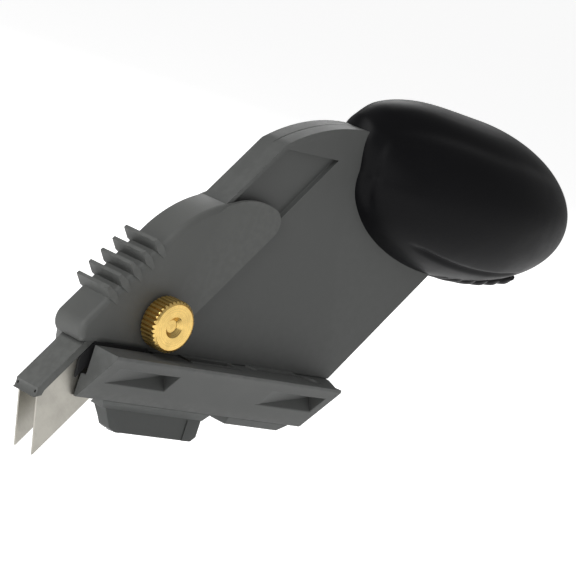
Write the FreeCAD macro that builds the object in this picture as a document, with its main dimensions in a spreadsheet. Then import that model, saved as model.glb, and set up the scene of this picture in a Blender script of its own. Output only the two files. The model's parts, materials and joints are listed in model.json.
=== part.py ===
import FreeCAD, Part
import math
import os
import Sketcher

# A palm-held foam-board cutter.  A slanted bar stands on a V-shaped shoe and carries a palm grip.
# A saddle with two trapezoid blades slides along the front of the bar and is clamped by a brass nut.
# Origin: on the flat sole, on the mid-plane, between the guide foot and the rear strip.
# +X points to the rear (the grip), -Y to the side with the brass nut, +Z up.  Millimetres.

doc = FreeCAD.newDocument("foam_cutter")

# ---------------------------------------------------------------- driving dimensions

DIMENSIONS = (
    ("slope", 52.0, "slant of the blade track above the sole, degrees"),
    ("track_setback", 13.2, "where the track datum line crosses the sole plane, behind zero"),
    ("body_thick", 10.8, "thickness of the slanted bar"),
    ("body_front", 51.0, "front edge of the bar ahead of the track datum"),
    ("body_back", 33.4, "rear edge of the bar behind the track datum"),
    ("shell_wall", 2.4, "outer wall of the two bar shells"),
    ("web_thick", 7.4, "bar thickness between the floors of the two blade recesses"),
    ("thick_basis", 10.8, "bar thickness that the web, blades, hood and blade slots are set out for"),
    ("lip_width", 1.4, "front lip that closes each blade recess above the saddle"),
    ("lip_start", 36.0, "lower end of that lip along the track"),
    ("recess_top", 86.6, "height of the upper end of the blade recesses"),
    ("brow", 0.9, "bar left above the recesses at its front corner"),
    ("crest_height", 97.8, "height of the bar's crest where it enters the grip"),
    ("crest_x", 26.0, "place of that point"),
    ("crest_round", 62.0, "radius of the crest"),
    ("tang_end", 98.0, "rear end of the bar's tang inside the grip"),
    ("tang_low", 68.0, "height of the tang's lower rear corner"),
    ("tang_high", 92.0, "height of the tang's upper rear corner"),
    ("tang_root", 8.0, "drop of the bar's rear edge below the tang's lower corner"),
    ("deck_height", 16.8, "height of the shoe's deck"),
    ("deck_rim", 1.0, "upright rim round the deck"),
    ("shoe_front", 62.4, "front end of the shoe ahead of zero"),
    ("shoe_rear", 36.0, "rear end of the shoe behind zero"),
    ("shoe_width", 36.4, "width of the deck"),
    ("sole_width", 11.6, "width of the flat sole"),
    ("slot_width", 9.8, "blade slot at the front of the shoe"),
    ("slot_top_width", 14.6, "the same slot where the saddle's cheeks enter it"),
    ("slot_step", 7.3, "height of the step between the two slot widths"),
    ("far_front", 8.0, "half width of the deck's front end on the right side"),
    ("far_slant", 6.4, "length of the slant from there to the full width"),
    ("heel_length", 6.0, "deck plate behind the shoe's rear end"),
    ("heel_thick", 2.4, "thickness of that plate"),
    ("heel_inset", 0.8, "inset of the heel plate from the deck's rear corners"),
    ("heel_margin", 1.0, "how far the heel plate's end reaches beyond the bar at each side"),
    ("foot_tab_front", 38.0, "front end of the bar's tab in the shoe"),
    ("foot_tab_rear", 26.0, "rear end of the bar's tab in the shoe"),
    ("foot_tab_thick", 8.8, "thickness of that tab"),
    ("foot_tab_low", 6.0, "underside of that tab above the sole"),
    ("pocket_length", 25.4, "length of the wedge pockets in the bevel faces"),
    ("pocket_height", 8.0, "height of the wedge pockets along the face"),
    ("pocket_depth", 4.5, "greatest depth of the wedge pockets"),
    ("pocket_deepest", 1.9, "deepest point of a wedge pocket, up the face from its lower edge"),
    ("pocket_low", 6.5, "height of the lower edge of the wedge pockets"),
    ("front_pocket_x", 58.0, "front end of the front wedge pocket ahead of zero"),
    ("rear_pocket_x", 7.4, "front end of the rear wedge pocket behind zero"),
    ("scoop_front", 25.4, "front end of the deck scoop behind the nut, ahead of zero"),
    ("scoop_rear", 5.1, "rear end of that scoop, ahead of zero"),
    ("scoop_width", 5.8, "width of that scoop"),
    ("scoop_depth", 5.0, "depth of that scoop"),
    ("scoop_lip", 0.6, "height and width of the lip round that scoop"),
    ("scoop_round", 2.5, "radius of the scoop's outer rear corner"),
    ("gusset_front", 3.6, "front end of the low gussets beside the bar, behind zero"),
    ("gusset_rear", 24.1, "rear end of those gussets, behind zero"),
    ("gusset_width", 3.4, "width of those gussets"),
    ("gusset_rise", 0.6, "height of those gussets above the deck"),
    ("gusset_slant", 0.6, "slant of a gusset's front end, as a share of its width"),
    ("mark_x", 29.0, "centres of the round marks in the deck, behind zero"),
    ("mark_y", 10.5, "centres of those marks off the mid-plane"),
    ("mark_dia", 7.0, "diameter of those marks"),
    ("mark_depth", 0.9, "depth of those marks"),
    ("cavity_high", 78.0, "upper end of the hollow inside the bar"),
    ("cavity_rear", 14.0, "drop of the hollow's rear corner below the tang's"),
    ("cavity_slant", 6.0, "slant of the hollow's upper rear corner"),
    ("screw_skin", 1.2, "wall left outside the blind ends of the shell screws"),
    ("screw_end_gap", 0.2, "room beyond the ends of the shell screws"),
    ("socket_share", 0.27, "circumradius of a head's hexagon socket, as a share of the head's diameter"),
    ("socket_deep", 0.6, "depth of that socket, as a share of the head's height"),
    ("shoe_hole_depth", 9.5, "depth of the shoe screws' holes in the bar's tab"),
    ("foot_hole_depth", 6.0, "depth of the small screws' holes through the sole"),
    ("cutter_over", 1.0, "how far a cutting tool runs past the face it opens"),
    ("feature_root", 0.5, "how far a raised feature is sunk into what carries it"),
    ("keel_height", 3.0, "height of the keel pieces under the sole"),
    ("keel_width", 6.8, "width of the keel pieces at their underside"),
    ("foot_front", 46.3, "front of the guide foot's block ahead of zero"),
    ("foot_rear", 4.9, "rear of the guide foot's block ahead of zero"),
    ("foot_drop", 10.4, "underside of the guide foot below the sole"),
    ("foot_width", 5.4, "width of the guide foot's block"),
    ("foot_rake", 4.5, "how far the block's front leans back"),
    ("foot_toe", 2.6, "length of the chamfer at the block's toe"),
    ("foot_toe_rise", 1.0, "height of that chamfer"),
    ("foot_heel", 1.5, "length of the chamfer at the block's heel"),
    ("foot_heel_rise", 1.4, "height of that chamfer"),
    ("panel_front", 9.0, "front margin of the shallow panel in the block's sides"),
    ("panel_rear", 5.5, "rear margin of that panel"),
    ("panel_top", 0.6, "upper margin of that panel"),
    ("panel_depth", 0.35, "depth of that panel"),
    ("flange_front", 4.6, "how far the foot's flange runs on ahead of the block"),
    ("flange_rear", 0.4, "how far that flange runs on behind the block"),
    ("flange_front_draft", 2.6, "slope of the flange's front end"),
    ("flange_rear_draft", 0.6, "slope of the flange's rear end"),
    ("small_screw_hold", 4.5, "length of the small screws inside the shoe"),
    ("shoe_screw_length", 13.0, "length of the shoe screws"),
    ("strip_front_draft", 1.6, "slope of the strip's front end"),
    ("strip_rear_draft", 2.2, "slope of the strip's rear end"),
    ("strip_front", 3.2, "front end of the rear strip behind zero"),
    ("strip_rear", 31.0, "rear end of the rear strip behind zero"),
    ("blade_edge", 31.7, "cutting edges ahead of the track datum"),
    ("blade_width", 18.6, "width of a blade"),
    ("blade_basis", 18.6, "blade width that blade_edge and cheek_back are set out for"),
    ("recess_room", 0.7, "room behind the cutting edges in the blade recesses"),
    ("blade_length", 53.0, "length of a blade's cutting edge"),
    ("blade_thick", 0.63, "thickness of a blade"),
    ("blade_taper", 13.5, "slant of a blade's ends"),
    ("blade_tip", -52.1, "lower tip of the blades along the track"),
    ("blade_bevel", 1.4, "width of a blade's ground bevel"),
    ("edge_flat", 0.02, "half thickness left at a blade's cutting edge"),
    ("blade_offset", 3.87, "inner face of a blade off the mid-plane"),
    ("hood_width", 10.2, "width of the blade holder's hood"),
    ("hood_thick", 2.5, "thickness of the hood"),
    ("hood_low", -41.4, "lower end of the hood along the track"),
    ("hood_high", 12.0, "upper end of the hood along the track"),
    ("holder_web", 4.4, "depth of the holder's web under the hood"),
    ("hood_nose", 4.0, "length of the hood's thinned lower end"),
    ("hood_nose_kink", 2.4, "place of the kink in that end"),
    ("hood_nose_drop", 0.6, "how far the kink stands below the hood"),
    ("hood_nose_lift", 1.0, "how far the tip stands above the hood's underside"),
    ("hood_round", 3.0, "radius of the hood's lower end"),
    ("hood_round_length", 2.6, "length of that rounding"),
    ("web_low", 6.0, "lower end of the holder's web above the hood's end"),
    ("web_slant", 3.0, "slant of that end"),
    ("blade_gap", 0.05, "gap round a blade in its holder"),
    ("peg_gap", 0.1, "gap at each side of a peg in its notch"),
    ("peg_size", 3.0, "width of the pegs that locate the blades"),
    ("peg_depth", 2.2, "depth of the blade notches"),
    ("peg_root", 0.2, "how far a peg runs on into the hood above its notch"),
    ("keeper_thick", 0.85, "thickness of the blade keepers"),
    ("keeper_gap", 0.2, "gap between a keeper and the hood"),
    ("keeper_low", -27.0, "lower end of the keepers along the track"),
    ("keeper_high", 12.0, "upper end of the keepers along the track"),
    ("keeper_toe", 43.8, "rear edge of a keeper's toe, which passes ahead of the shoe"),
    ("cheek_wall", 1.5, "wall of the saddle's cheeks"),
    ("cheek_back", 29.2, "rear edge of the cheeks ahead of the track datum"),
    ("cheek_high", 57.7, "upper end of the cheeks along the track"),
    ("saddle_low", -20.0, "nose of the saddle along the track"),
    ("saddle_front", 58.0, "spine of the saddle ahead of the track datum"),
    ("nose_round", 5.0, "radius of the saddle's nose"),
    ("spine_straight", 21.0, "end of the spine's straight part along the track"),
    ("spine_end", 46.7, "end of the spine's bend along the track"),
    ("spine_bend", 42.0, "radius of that bend"),
    ("shoulder_round", 2.0, "radius of the saddle's shoulders"),
    ("saddle_lift", 0.6, "underside of the saddle above the deck"),
    ("saddle_toe", 10.0, "front end of the cheeks' straight foot, behind the spine"),
    ("crown_high", 6.3, "height of the saddle's upper tail ahead of the cheeks' rear edge"),
    ("crown_round", 24.0, "radius of the spine's upper hollow"),
    ("tail_round", 5.2, "radius of the saddle's tail"),
    ("tail_length", 5.6, "length of that tail"),
    ("shoulder_reach", 9.0, "depth of the spine whose edges are rounded"),
    ("rib_overhang", 0.35, "how far the ribs stand out of the cheeks"),
    ("key_start", 20.0, "lower end of the saddle's inner keys along the track"),
    ("slide_gap", 0.1, "running gap between the saddle and the bar"),
    ("part_gap", 0.4, "plain gap between neighbouring parts that move"),
    ("rib_count", 5, "thumb ribs on the saddle"),
    ("rib_first", -4.2, "lowest rib along the track"),
    ("rib_pitch", 5.2, "distance between the ribs"),
    ("rib_thick", 2.7, "thickness of a rib at its foot"),
    ("rib_tip", 1.1, "thickness of a rib at its tip"),
    ("rib_rise", 4.0, "height of a rib above the spine"),
    ("rib_wrap", 3.4, "how far a rib runs down the cheeks"),
    ("travel_up", 23.4, "travel of the saddle up the track"),
    ("travel_down", 1.6, "travel of the saddle down the track"),
    ("stud_s", 5.0, "clamp stud along the track"),
    ("stud_d", 37.9, "clamp stud ahead of the track datum"),
    ("stud_dia", 4.0, "diameter of the clamp stud"),
    ("bush_length", 8.0, "length of the stud's bush along the track"),
    ("bush_width", 6.0, "width of the stud's bush"),
    ("nut_dia", 16.6, "diameter of the thumb nut"),
    ("nut_length", 6.6, "length of the thumb nut"),
    ("nut_teeth", 34, "teeth of the nut's straight knurl"),
    ("knurl_depth", 0.7, "depth of that knurl"),
    ("knurl_share", 0.62, "width of a knurl groove, as a share of the knurl's pitch"),
    ("knurl_over", 0.4, "how far the knurl's cutter stands out of the nut"),
    ("nut_chamfer", 0.8, "chamfer of the nut's rims"),
    ("nut_countersink", 1.3, "countersink of the nut's bore"),
    ("thread_gap", 0.05, "radial gap of the nut and the bush on the stud"),
    ("hole_gap", 0.1, "radial gap of the plain holes on the stud"),
    ("nut_face_gap", 0.1, "gap between the nut and its washer"),
    ("stud_short", 1.4, "how far the stud ends inside the nut"),
    ("stud_socket_share", 0.55, "circumradius of the stud's socket, as a share of its diameter"),
    ("stud_socket_start", 1.2, "solid left under the stud's socket"),
    ("washer_dia", 11.0, "diameter of the washers"),
    ("washer_thick", 0.5, "thickness of the washers"),
    ("stud_head_dia", 9.0, "diameter of the stud's head"),
    ("stud_head_height", 2.8, "height of the stud's head"),
    ("grip_x", 76.2, "centre of the grip"),
    ("grip_z", 82.5, "height of that centre"),
    ("grip_long", 52.0, "half length of the grip"),
    ("grip_wide", 30.0, "half width of the grip"),
    ("grip_high", 26.3, "half height of the grip"),
    ("grip_tilt", 1.5, "downward tilt of the grip to the rear, degrees"),
    ("cover_thick", 3.0, "thickness of the soft grip cover"),
    ("core_wall", 3.0, "wall of the grip's hard core"),
    ("core_web", 1.6, "inner wall of the core beside the bar"),
    ("core_hollow", 30.0, "half length of the core's hollow"),
    ("core_screw_reach", 8.0, "seat of the core screws beyond the bar's faces"),
    ("core_screw_hold", 7.0, "hold of the core screws in the far half"),
    ("pad_height", 12.0, "height of the band that the pad is cut from"),
    ("pad_front", 62.0, "front end of the ridged pad under the grip"),
    ("pad_rear", 108.0, "rear end of that pad"),
    ("pad_width", 27.0, "width of that pad"),
    ("pad_rise", 1.6, "how far that pad stands out of the grip"),
    ("pad_top", 62.0, "height where that pad ends"),
    ("pad_ridges", 8, "finger ridges of that pad"),
    ("pad_groove", 0.3, "radius of a groove between the ridges, as a share of their pitch"),
    ("pad_groove_low", 0.18, "how far a groove's centre lies below the grip, as a share of that pitch"),
    ("shell_screw_dia", 2.5, "diameter of the screws that join the shells"),
    ("shell_head_dia", 4.8, "diameter of their heads"),
    ("shell_head_height", 1.6, "height of their heads"),
    ("boss_dia", 7.0, "diameter of the screw bosses"),
    ("dowel_dia", 3.0, "diameter of the dowels between the shells"),
    ("shoe_screw_dia", 3.0, "diameter of the shoe screws"),
    ("shoe_head_dia", 5.6, "diameter of their heads"),
    ("shoe_head_height", 2.2, "height of their heads"),
    ("foot_screw_dia", 2.2, "diameter of the guide foot's and the strip's screws"),
    ("foot_head_dia", 3.8, "diameter of their heads"),
    ("foot_head_height", 1.4, "height of their heads"),
)

sheet = doc.addObject("Spreadsheet::Sheet", "Dimensions")
for row, (alias, number, meaning) in enumerate(DIMENSIONS, start=1):
    sheet.set("A%d" % row, alias)
    sheet.set("B%d" % row, str(number))
    sheet.set("C%d" % row, meaning)
    sheet.setAlias("B%d" % row, alias)
doc.recompute()


class Size:
    """A length or angle: its number, and the sheet formula that it comes from."""

    def __init__(self, number, formula):
        self.number = float(number)
        self.formula = formula

    @staticmethod
    def of(other):
        return other if isinstance(other, Size) else Size(other, repr(float(other)))

    def joined(self, sign, other, number):
        return Size(number, "(%s %s %s)" % (self.formula, sign, other.formula))

    def __add__(self, other):
        other = Size.of(other)
        return self.joined("+", other, self.number + other.number)

    def __sub__(self, other):
        other = Size.of(other)
        return self.joined("-", other, self.number - other.number)

    def __mul__(self, other):
        other = Size.of(other)
        return self.joined("*", other, self.number * other.number)

    def __truediv__(self, other):
        other = Size.of(other)
        return self.joined("/", other, self.number / other.number)

    def __radd__(self, other):
        return Size.of(other) + self

    def __rsub__(self, other):
        return Size.of(other) - self

    def __rmul__(self, other):
        return Size.of(other) * self

    def __neg__(self):
        return Size.of(0) - self

    def root(self):
        return Size(math.sqrt(self.number), "sqrt(%s)" % self.formula)


class Sizes:
    """The sheet's cells as named sizes."""

    def __init__(self, rows):
        for alias, number, _ in rows:
            setattr(self, alias, Size(number, "Dimensions." + alias))


size = Sizes(DIMENSIONS)
ZERO = Size.of(0)
COS = Size(math.cos(math.radians(size.slope.number)), "cos(Dimensions.slope)")
SIN = Size(math.sin(math.radians(size.slope.number)), "sin(Dimensions.slope)")


def on_track(along, ahead):
    """World X and Z of a point given along the track and ahead of its datum."""
    return (along * COS - ahead * SIN - size.track_setback, along * SIN + ahead * COS)


def x_at(ahead, height):
    """World X, at a height, of a line that runs parallel to the track."""
    return (height * COS - ahead) / SIN - size.track_setback


def along_at(ahead, height):
    """Place along the track where a line parallel to it reaches a height."""
    return (height - ahead * COS) / SIN


# ---------------------------------------------------------------- modelling helpers

def bind(thing, path, value):
    """Bind a property to a size's formula."""
    thing.setExpression(path, Size.of(value).formula)


def place(thing, x, y, z, rotation=None):
    """Put a part primitive in place, its position bound to the sheet."""
    if rotation is not None:
        thing.Placement = FreeCAD.Placement(FreeCAD.Vector(), rotation)
    for letter, value in (("x", x), ("y", y), ("z", z)):
        bind(thing, "Placement.Base." + letter, value)


def turned(axis, degrees):
    """A rotation about one world axis."""
    return FreeCAD.Rotation(FreeCAD.Vector(*axis), degrees)


ALONG_X = (1, 0, 0)
ALONG_Y = (0, 1, 0)
ALONG_Z = (0, 0, 1)
TO_LEFT = turned(ALONG_X, 90)      # a primitive's +Z then points to -Y
TO_RIGHT = turned(ALONG_X, -90)    # a primitive's +Z then points to +Y
UPRIGHT = turned(ALONG_X, 0)


def track_placement():
    """The frame whose X runs up the track, Y ahead of it and Z to the left side."""
    upright = FreeCAD.Placement(FreeCAD.Vector(-size.track_setback.number, 0, 0), TO_LEFT)
    slant = FreeCAD.Placement(FreeCAD.Vector(), turned(ALONG_Z, size.slope.number))
    return upright.multiply(slant)


def new_body(label, placement=None):
    """An empty body with its label and its placement."""
    body = doc.addObject("PartDesign::Body", label)
    body.Label = label
    if placement is not None:
        body.Placement = placement
    return body


def origin_plane(body, role):
    """One of a body's own origin planes."""
    for feature in body.Origin.OriginFeatures:
        if feature.Role == role:
            return feature
    raise ValueError(role)


def fix_point(sketch, curve, end, x, y):
    """Hold one end of a sketch curve at a point given by two sizes."""
    for kind, axis, value in (("DistanceX", -2, x), ("DistanceY", -1, y)):
        if value.formula == ZERO.formula:
            sketch.addConstraint(Sketcher.Constraint("PointOnObject", curve, end, axis))
            continue
        index = sketch.addConstraint(Sketcher.Constraint(kind, -1, 1, curve, end, value.number))
        bind(sketch, "Constraints[%d]" % index, value)


def arc_between(first, last, radius):
    """Arc of a radius from one point to another; a positive radius bulges to the right."""
    start = FreeCAD.Vector(first[0].number, first[1].number, 0)
    finish = FreeCAD.Vector(last[0].number, last[1].number, 0)
    chord = finish - start
    middle = (start + finish) * 0.5
    right = FreeCAD.Vector(chord.y, -chord.x, 0).normalize()
    bend = abs(radius.number)
    side = 1 if radius.number > 0 else -1
    sagitta = bend - math.sqrt(bend * bend - chord.Length * chord.Length / 4)
    return Part.Arc(start, middle + right * (side * sagitta), finish)


def add_path(sketch, corners):
    """A closed outline.  A corner with a third value starts an arc of that radius."""
    points = []
    for corner in corners:
        points.append(tuple(Size.of(value) for value in corner))
    curves = []
    for number, corner in enumerate(points):
        following = points[(number + 1) % len(points)]
        if len(corner) == 3:
            arc = arc_between(corner, following, corner[2])
            curve = sketch.addGeometry(arc)
            ends = (1, 2) if corner[2].number > 0 else (2, 1)
            index = sketch.addConstraint(Sketcher.Constraint("Radius", curve, abs(corner[2].number)))
            radius = corner[2] if corner[2].number > 0 else -corner[2]
            bind(sketch, "Constraints[%d]" % index, radius)
        else:
            start = FreeCAD.Vector(corner[0].number, corner[1].number, 0)
            finish = FreeCAD.Vector(following[0].number, following[1].number, 0)
            curve = sketch.addGeometry(Part.LineSegment(start, finish))
            ends = (1, 2)
        curves.append((curve, ends))
    for number, corner in enumerate(points):
        curve, ends = curves[number]
        before, before_ends = curves[number - 1]
        sketch.addConstraint(Sketcher.Constraint("Coincident", before, before_ends[1], curve, ends[0]))
        fix_point(sketch, curve, ends[0], corner[0], corner[1])


def add_circle(sketch, x, y, diameter):
    """A circle held by its centre and its diameter."""
    x, y, diameter = Size.of(x), Size.of(y), Size.of(diameter)
    centre = FreeCAD.Vector(x.number, y.number, 0)
    circle = Part.Circle(centre, FreeCAD.Vector(0, 0, 1), diameter.number / 2)
    curve = sketch.addGeometry(circle)
    fix_point(sketch, curve, 3, x, y)
    index = sketch.addConstraint(Sketcher.Constraint("Diameter", curve, diameter.number))
    bind(sketch, "Constraints[%d]" % index, diameter)


def new_sketch(body, name, role, offset, paths=(), circles=()):
    """A sketch on one of the body's own planes, shifted along its normal."""
    sketch = body.newObject("Sketcher::SketchObject", name + "_sketch")
    sketch.AttachmentSupport = (origin_plane(body, role), [""])
    sketch.MapMode = "FlatFace"
    bind(sketch, "AttachmentOffset.Base.z", offset)
    for corners in paths:
        add_path(sketch, corners)
    for x, y, diameter in circles:
        add_circle(sketch, x, y, diameter)
    return sketch


def volume_of(body):
    """Volume of a body, zero while it is empty."""
    return 0.0 if body.Shape.isNull() else body.Shape.Volume


def pad(body, name, role, start, length, paths=(), circles=()):
    """Add material from start to start + length along a plane's normal."""
    before = volume_of(body)
    sketch = new_sketch(body, name, role, start, paths, circles)
    feature = body.newObject("PartDesign::Pad", name)
    feature.Profile = sketch
    bind(feature, "Length", length)
    doc.recompute()
    if volume_of(body) <= before:
        raise RuntimeError(name + " adds nothing")
    return feature


def pocket(body, name, role, start, length, paths=(), circles=()):
    """Remove material from start to start + length along a plane's normal."""
    before = volume_of(body)
    sketch = new_sketch(body, name, role, Size.of(start) + length, paths, circles)
    feature = body.newObject("PartDesign::Pocket", name)
    feature.Profile = sketch
    bind(feature, "Length", length)
    doc.recompute()
    if volume_of(body) >= before:
        raise RuntimeError(name + " cuts nothing")
    return feature


def round_edges(body, name, names, radius):
    """Fillet some edges of a body's last feature."""
    feature = body.newObject("PartDesign::Fillet", name)
    feature.Base = (body.Group[body.Group.index(feature) - 1], names)
    bind(feature, "Radius", radius)
    doc.recompute()
    return feature


def cylinder(name, radius, height):
    """A bound cylinder along +Z."""
    part = doc.addObject("Part::Cylinder", name)
    bind(part, "Radius", radius)
    bind(part, "Height", height)
    return part


def box(name, low, high):
    """A bound box between two corners."""
    part = doc.addObject("Part::Box", name)
    for side, first, last in zip(("Length", "Width", "Height"), low, high):
        bind(part, side, Size.of(last) - first)
    place(part, *low)
    return part


def fuse(name, parts):
    """The union of some objects."""
    result = doc.addObject("Part::MultiFuse", name)
    result.Shapes = parts
    doc.recompute()
    return result


def cut(name, base, tool):
    """One object less another."""
    result = doc.addObject("Part::Cut", name)
    result.Base = base
    result.Tool = tool
    doc.recompute()
    return result


def common(name, first, second):
    """What two objects share."""
    result = doc.addObject("Part::MultiCommon", name)
    result.Shapes = [first, second]
    doc.recompute()
    return result


def mirrored(name, source):
    """The same solid on the other side of the mid-plane."""
    result = doc.addObject("Part::Mirroring", name)
    result.Source = source
    result.Normal = FreeCAD.Vector(0, 1, 0)
    doc.recompute()
    return result


NODES = []


def finish(thing, label):
    """Give a finished sub-part its label and keep it for the export."""
    thing.Label = label
    NODES.append((label, thing))
    return thing


LEFT, RIGHT = 1, -1
SIDES = ((LEFT, "left"), (RIGHT, "right"))


def start_on(side, inner, thick):
    """Start, along the normal to -Y, of a layer that lies inner to inner + thick off the mid-plane."""
    return Size.of(inner) if side == LEFT else -(Size.of(inner) + thick)


# ---------------------------------------------------------------- values used by several parts

half_body = size.body_thick / 2
thicker = (size.body_thick - size.thick_basis) / 2
wider = size.blade_width - size.blade_basis
half_web = size.web_thick / 2 + thicker
half_hood = size.hood_width / 2 + thicker
half_blade_slot = size.slot_width / 2 + thicker
half_cheek_slot = size.slot_top_width / 2 + thicker
edge_line = size.blade_edge - wider
cheek_rear = size.cheek_back - wider
recess_back = edge_line - size.recess_room
lip_back = size.body_front - size.lip_width
web_front = size.body_front - size.hood_thick - size.holder_web - size.part_gap
blade_inner = size.blade_offset + thicker
blade_outer = blade_inner + size.blade_thick
cheek_inner = half_body + size.slide_gap
cheek_outer = cheek_inner + size.cheek_wall
stud_hole = size.stud_dia + 2 * size.hole_gap
corner_s = along_at(size.body_front, size.recess_top + size.brow)


def bar_outline():
    """Side view of the bar: front edge, crest, tang and rear edge."""
    front_top = on_track(corner_s, size.body_front)
    return (
        (x_at(web_front, size.deck_height), size.deck_height),
        (x_at(-size.body_back, size.deck_height), size.deck_height),
        (x_at(-size.body_back, size.tang_low - size.tang_root), size.tang_low - size.tang_root),
        (size.tang_end, size.tang_low),
        (size.tang_end, size.tang_high),
        (size.crest_x, size.crest_height, size.crest_round),
        front_top,
        on_track(size.lip_start, size.body_front),
        on_track(size.lip_start, web_front),
    )


SHELL_SCREWS = ((28.0, 10.0), (64.0, 14.0), (52.0, -22.0), (84.0, -22.0))
DOWELS = ((48.0, 4.0), (66.0, -24.0))
CORE_SCREWS = ((62.0, 84.0), (88.0, 80.0))


def track_points(places):
    """World positions of some places on the bar."""
    return [on_track(Size.of(along), Size.of(ahead)) for along, ahead in places]


# ---------------------------------------------------------------- the slanted bar

def build_shell(side, name):
    """One moulded half of the bar, with its blade recess, stud slot, bosses and shoe tab."""
    body = new_body("body_%s_shell" % name)
    pad(body, name + "_bar", "XZ_Plane", start_on(side, 0, half_body), half_body, [bar_outline()])
    low = size.deck_height - size.cutter_over
    recess = (
        (x_at(recess_back, low), low),
        (x_at(recess_back, size.recess_top), size.recess_top),
        (x_at(lip_back, size.recess_top), size.recess_top),
        on_track(size.lip_start, lip_back),
        on_track(size.lip_start, size.body_front + size.cutter_over),
        (x_at(size.body_front + size.cutter_over, low), low),
    )
    depth = half_body - half_web
    pocket(body, name + "_recess", "XZ_Plane", start_on(side, half_web, depth), depth, [recess])
    slot_half = size.bush_width / 2 + size.slide_gap
    slot_low = size.stud_s - size.bush_length / 2 - size.travel_down - size.part_gap
    slot_high = size.stud_s + size.bush_length / 2 + size.travel_up + size.part_gap
    slot = [
        on_track(slot_low, size.stud_d - slot_half),
        on_track(slot_high, size.stud_d - slot_half),
        on_track(slot_high, size.stud_d + slot_half),
        on_track(slot_low, size.stud_d + slot_half),
    ]
    pocket(body, name + "_stud_slot", "XZ_Plane", start_on(side, 0, half_body), half_body, [slot])
    tab_half = size.foot_tab_thick / 2
    tab = (
        (-size.foot_tab_front, size.foot_tab_low),
        (size.foot_tab_rear, size.foot_tab_low),
        (size.foot_tab_rear, size.deck_height),
        (-size.foot_tab_front, size.deck_height),
    )
    pad(body, name + "_tab", "XZ_Plane", start_on(side, 0, tab_half), tab_half, [tab])
    wall = size.shell_wall
    inner_low = size.deck_height + wall
    inner_high = size.cavity_high
    rear_high = size.tang_low - size.cavity_rear
    rear_x = x_at(wall - size.body_back, rear_high)
    cavity = (
        (x_at(recess_back - wall, inner_low), inner_low),
        (x_at(wall - size.body_back, inner_low), inner_low),
        (rear_x, rear_high),
        (rear_x - size.cavity_slant, inner_high),
        (x_at(recess_back - wall, inner_high), inner_high),
    )
    bosses = [(x, z, size.boss_dia) for x, z in track_points(SHELL_SCREWS + DOWELS)]
    depth = half_body - wall
    pocket(body, name + "_cavity", "XZ_Plane", start_on(side, 0, depth), depth, [cavity], bosses)
    screws = [(x, z, size.shell_screw_dia) for x, z in track_points(SHELL_SCREWS)]
    dowels = [(x, z, size.dowel_dia) for x, z in track_points(DOWELS)]
    cores = [(Size.of(x), Size.of(z), size.shell_screw_dia) for x, z in CORE_SCREWS]
    depth = half_body if side == RIGHT else half_body - size.screw_skin
    pocket(body, name + "_screw_holes", "XZ_Plane", start_on(side, 0, depth), depth, (), screws)
    if side == RIGHT:
        heads = [(x, z, size.shell_head_dia) for x, z in track_points(SHELL_SCREWS)]
        depth = size.shell_head_height
        start = start_on(side, half_body - depth, depth)
        pocket(body, name + "_head_holes", "XZ_Plane", start, depth, (), heads)
    pocket(body, name + "_core_holes", "XZ_Plane", start_on(side, 0, half_body), half_body, (), cores)
    depth = half_body - wall
    pocket(body, name + "_dowel_holes", "XZ_Plane", start_on(side, 0, depth), depth, (), dowels)
    hole_low = size.foot_tab_low - size.cutter_over
    shoe_holes = [(Size.of(x), ZERO, size.shoe_screw_dia) for x in SHOE_SCREWS]
    pocket(body, name + "_shoe_screw_holes", "XY_Plane", hole_low, size.shoe_hole_depth, (), shoe_holes)
    return finish(body, "body_%s_shell" % name)


SHOE_SCREWS = (-24.0, 15.0)
FOOT_SCREWS = (-38.0, -12.0)
STRIP_SCREWS = (8.0, 26.0)

for shell_side, shell_name in SIDES:
    build_shell(shell_side, shell_name)


def build_screws(label, places, rotation, head_dia, head_height, shank_dia, length):
    """A group of equal socket-head screws whose heads start at the given places."""
    screws = []
    for number, (x, y, z) in enumerate(places):
        stem = "%s_%d" % (label, number)
        head = cylinder(stem + "_head", Size.of(head_dia) / 2, head_height)
        shank = cylinder(stem + "_shank", Size.of(shank_dia) / 2, length)
        socket = doc.addObject("Part::Prism", stem + "_socket")
        socket.Polygon = 6
        bind(socket, "Circumradius", Size.of(head_dia) * size.socket_share)
        bind(socket, "Height", Size.of(head_height) * size.socket_deep)
        for part in (head, shank, socket):
            place(part, x, y, z, rotation)
        screws.append(cut(stem, fuse(stem + "_blank", [head, shank]), socket))
    group = doc.addObject("Part::Compound", label + "_group")
    group.Links = screws
    doc.recompute()
    return finish(group, label)


screw_places = [(x, half_body, z) for x, z in track_points(SHELL_SCREWS)]
build_screws("shell_screws", screw_places, TO_LEFT, size.shell_head_dia, size.shell_head_height,
             size.shell_screw_dia, size.body_thick - size.screw_skin - size.screw_end_gap)

dowel_parts = []
for dowel_number, (dowel_x, dowel_z) in enumerate(track_points(DOWELS)):
    reach = half_body - size.shell_wall
    dowel = cylinder("dowel_%d" % dowel_number, size.dowel_dia / 2, 2 * reach)
    place(dowel, dowel_x, reach, dowel_z, TO_LEFT)
    dowel_parts.append(dowel)
dowel_group = doc.addObject("Part::Compound", "dowel_group")
dowel_group.Links = dowel_parts
doc.recompute()
finish(dowel_group, "shell_dowels")


# ---------------------------------------------------------------- the shoe

half_deck = size.shoe_width / 2
half_sole = size.sole_width / 2
bevel_rise = size.deck_height - size.deck_rim
bevel_run = half_deck - half_sole
bevel_angle = math.degrees(math.atan2(bevel_run.number, bevel_rise.number))


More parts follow.
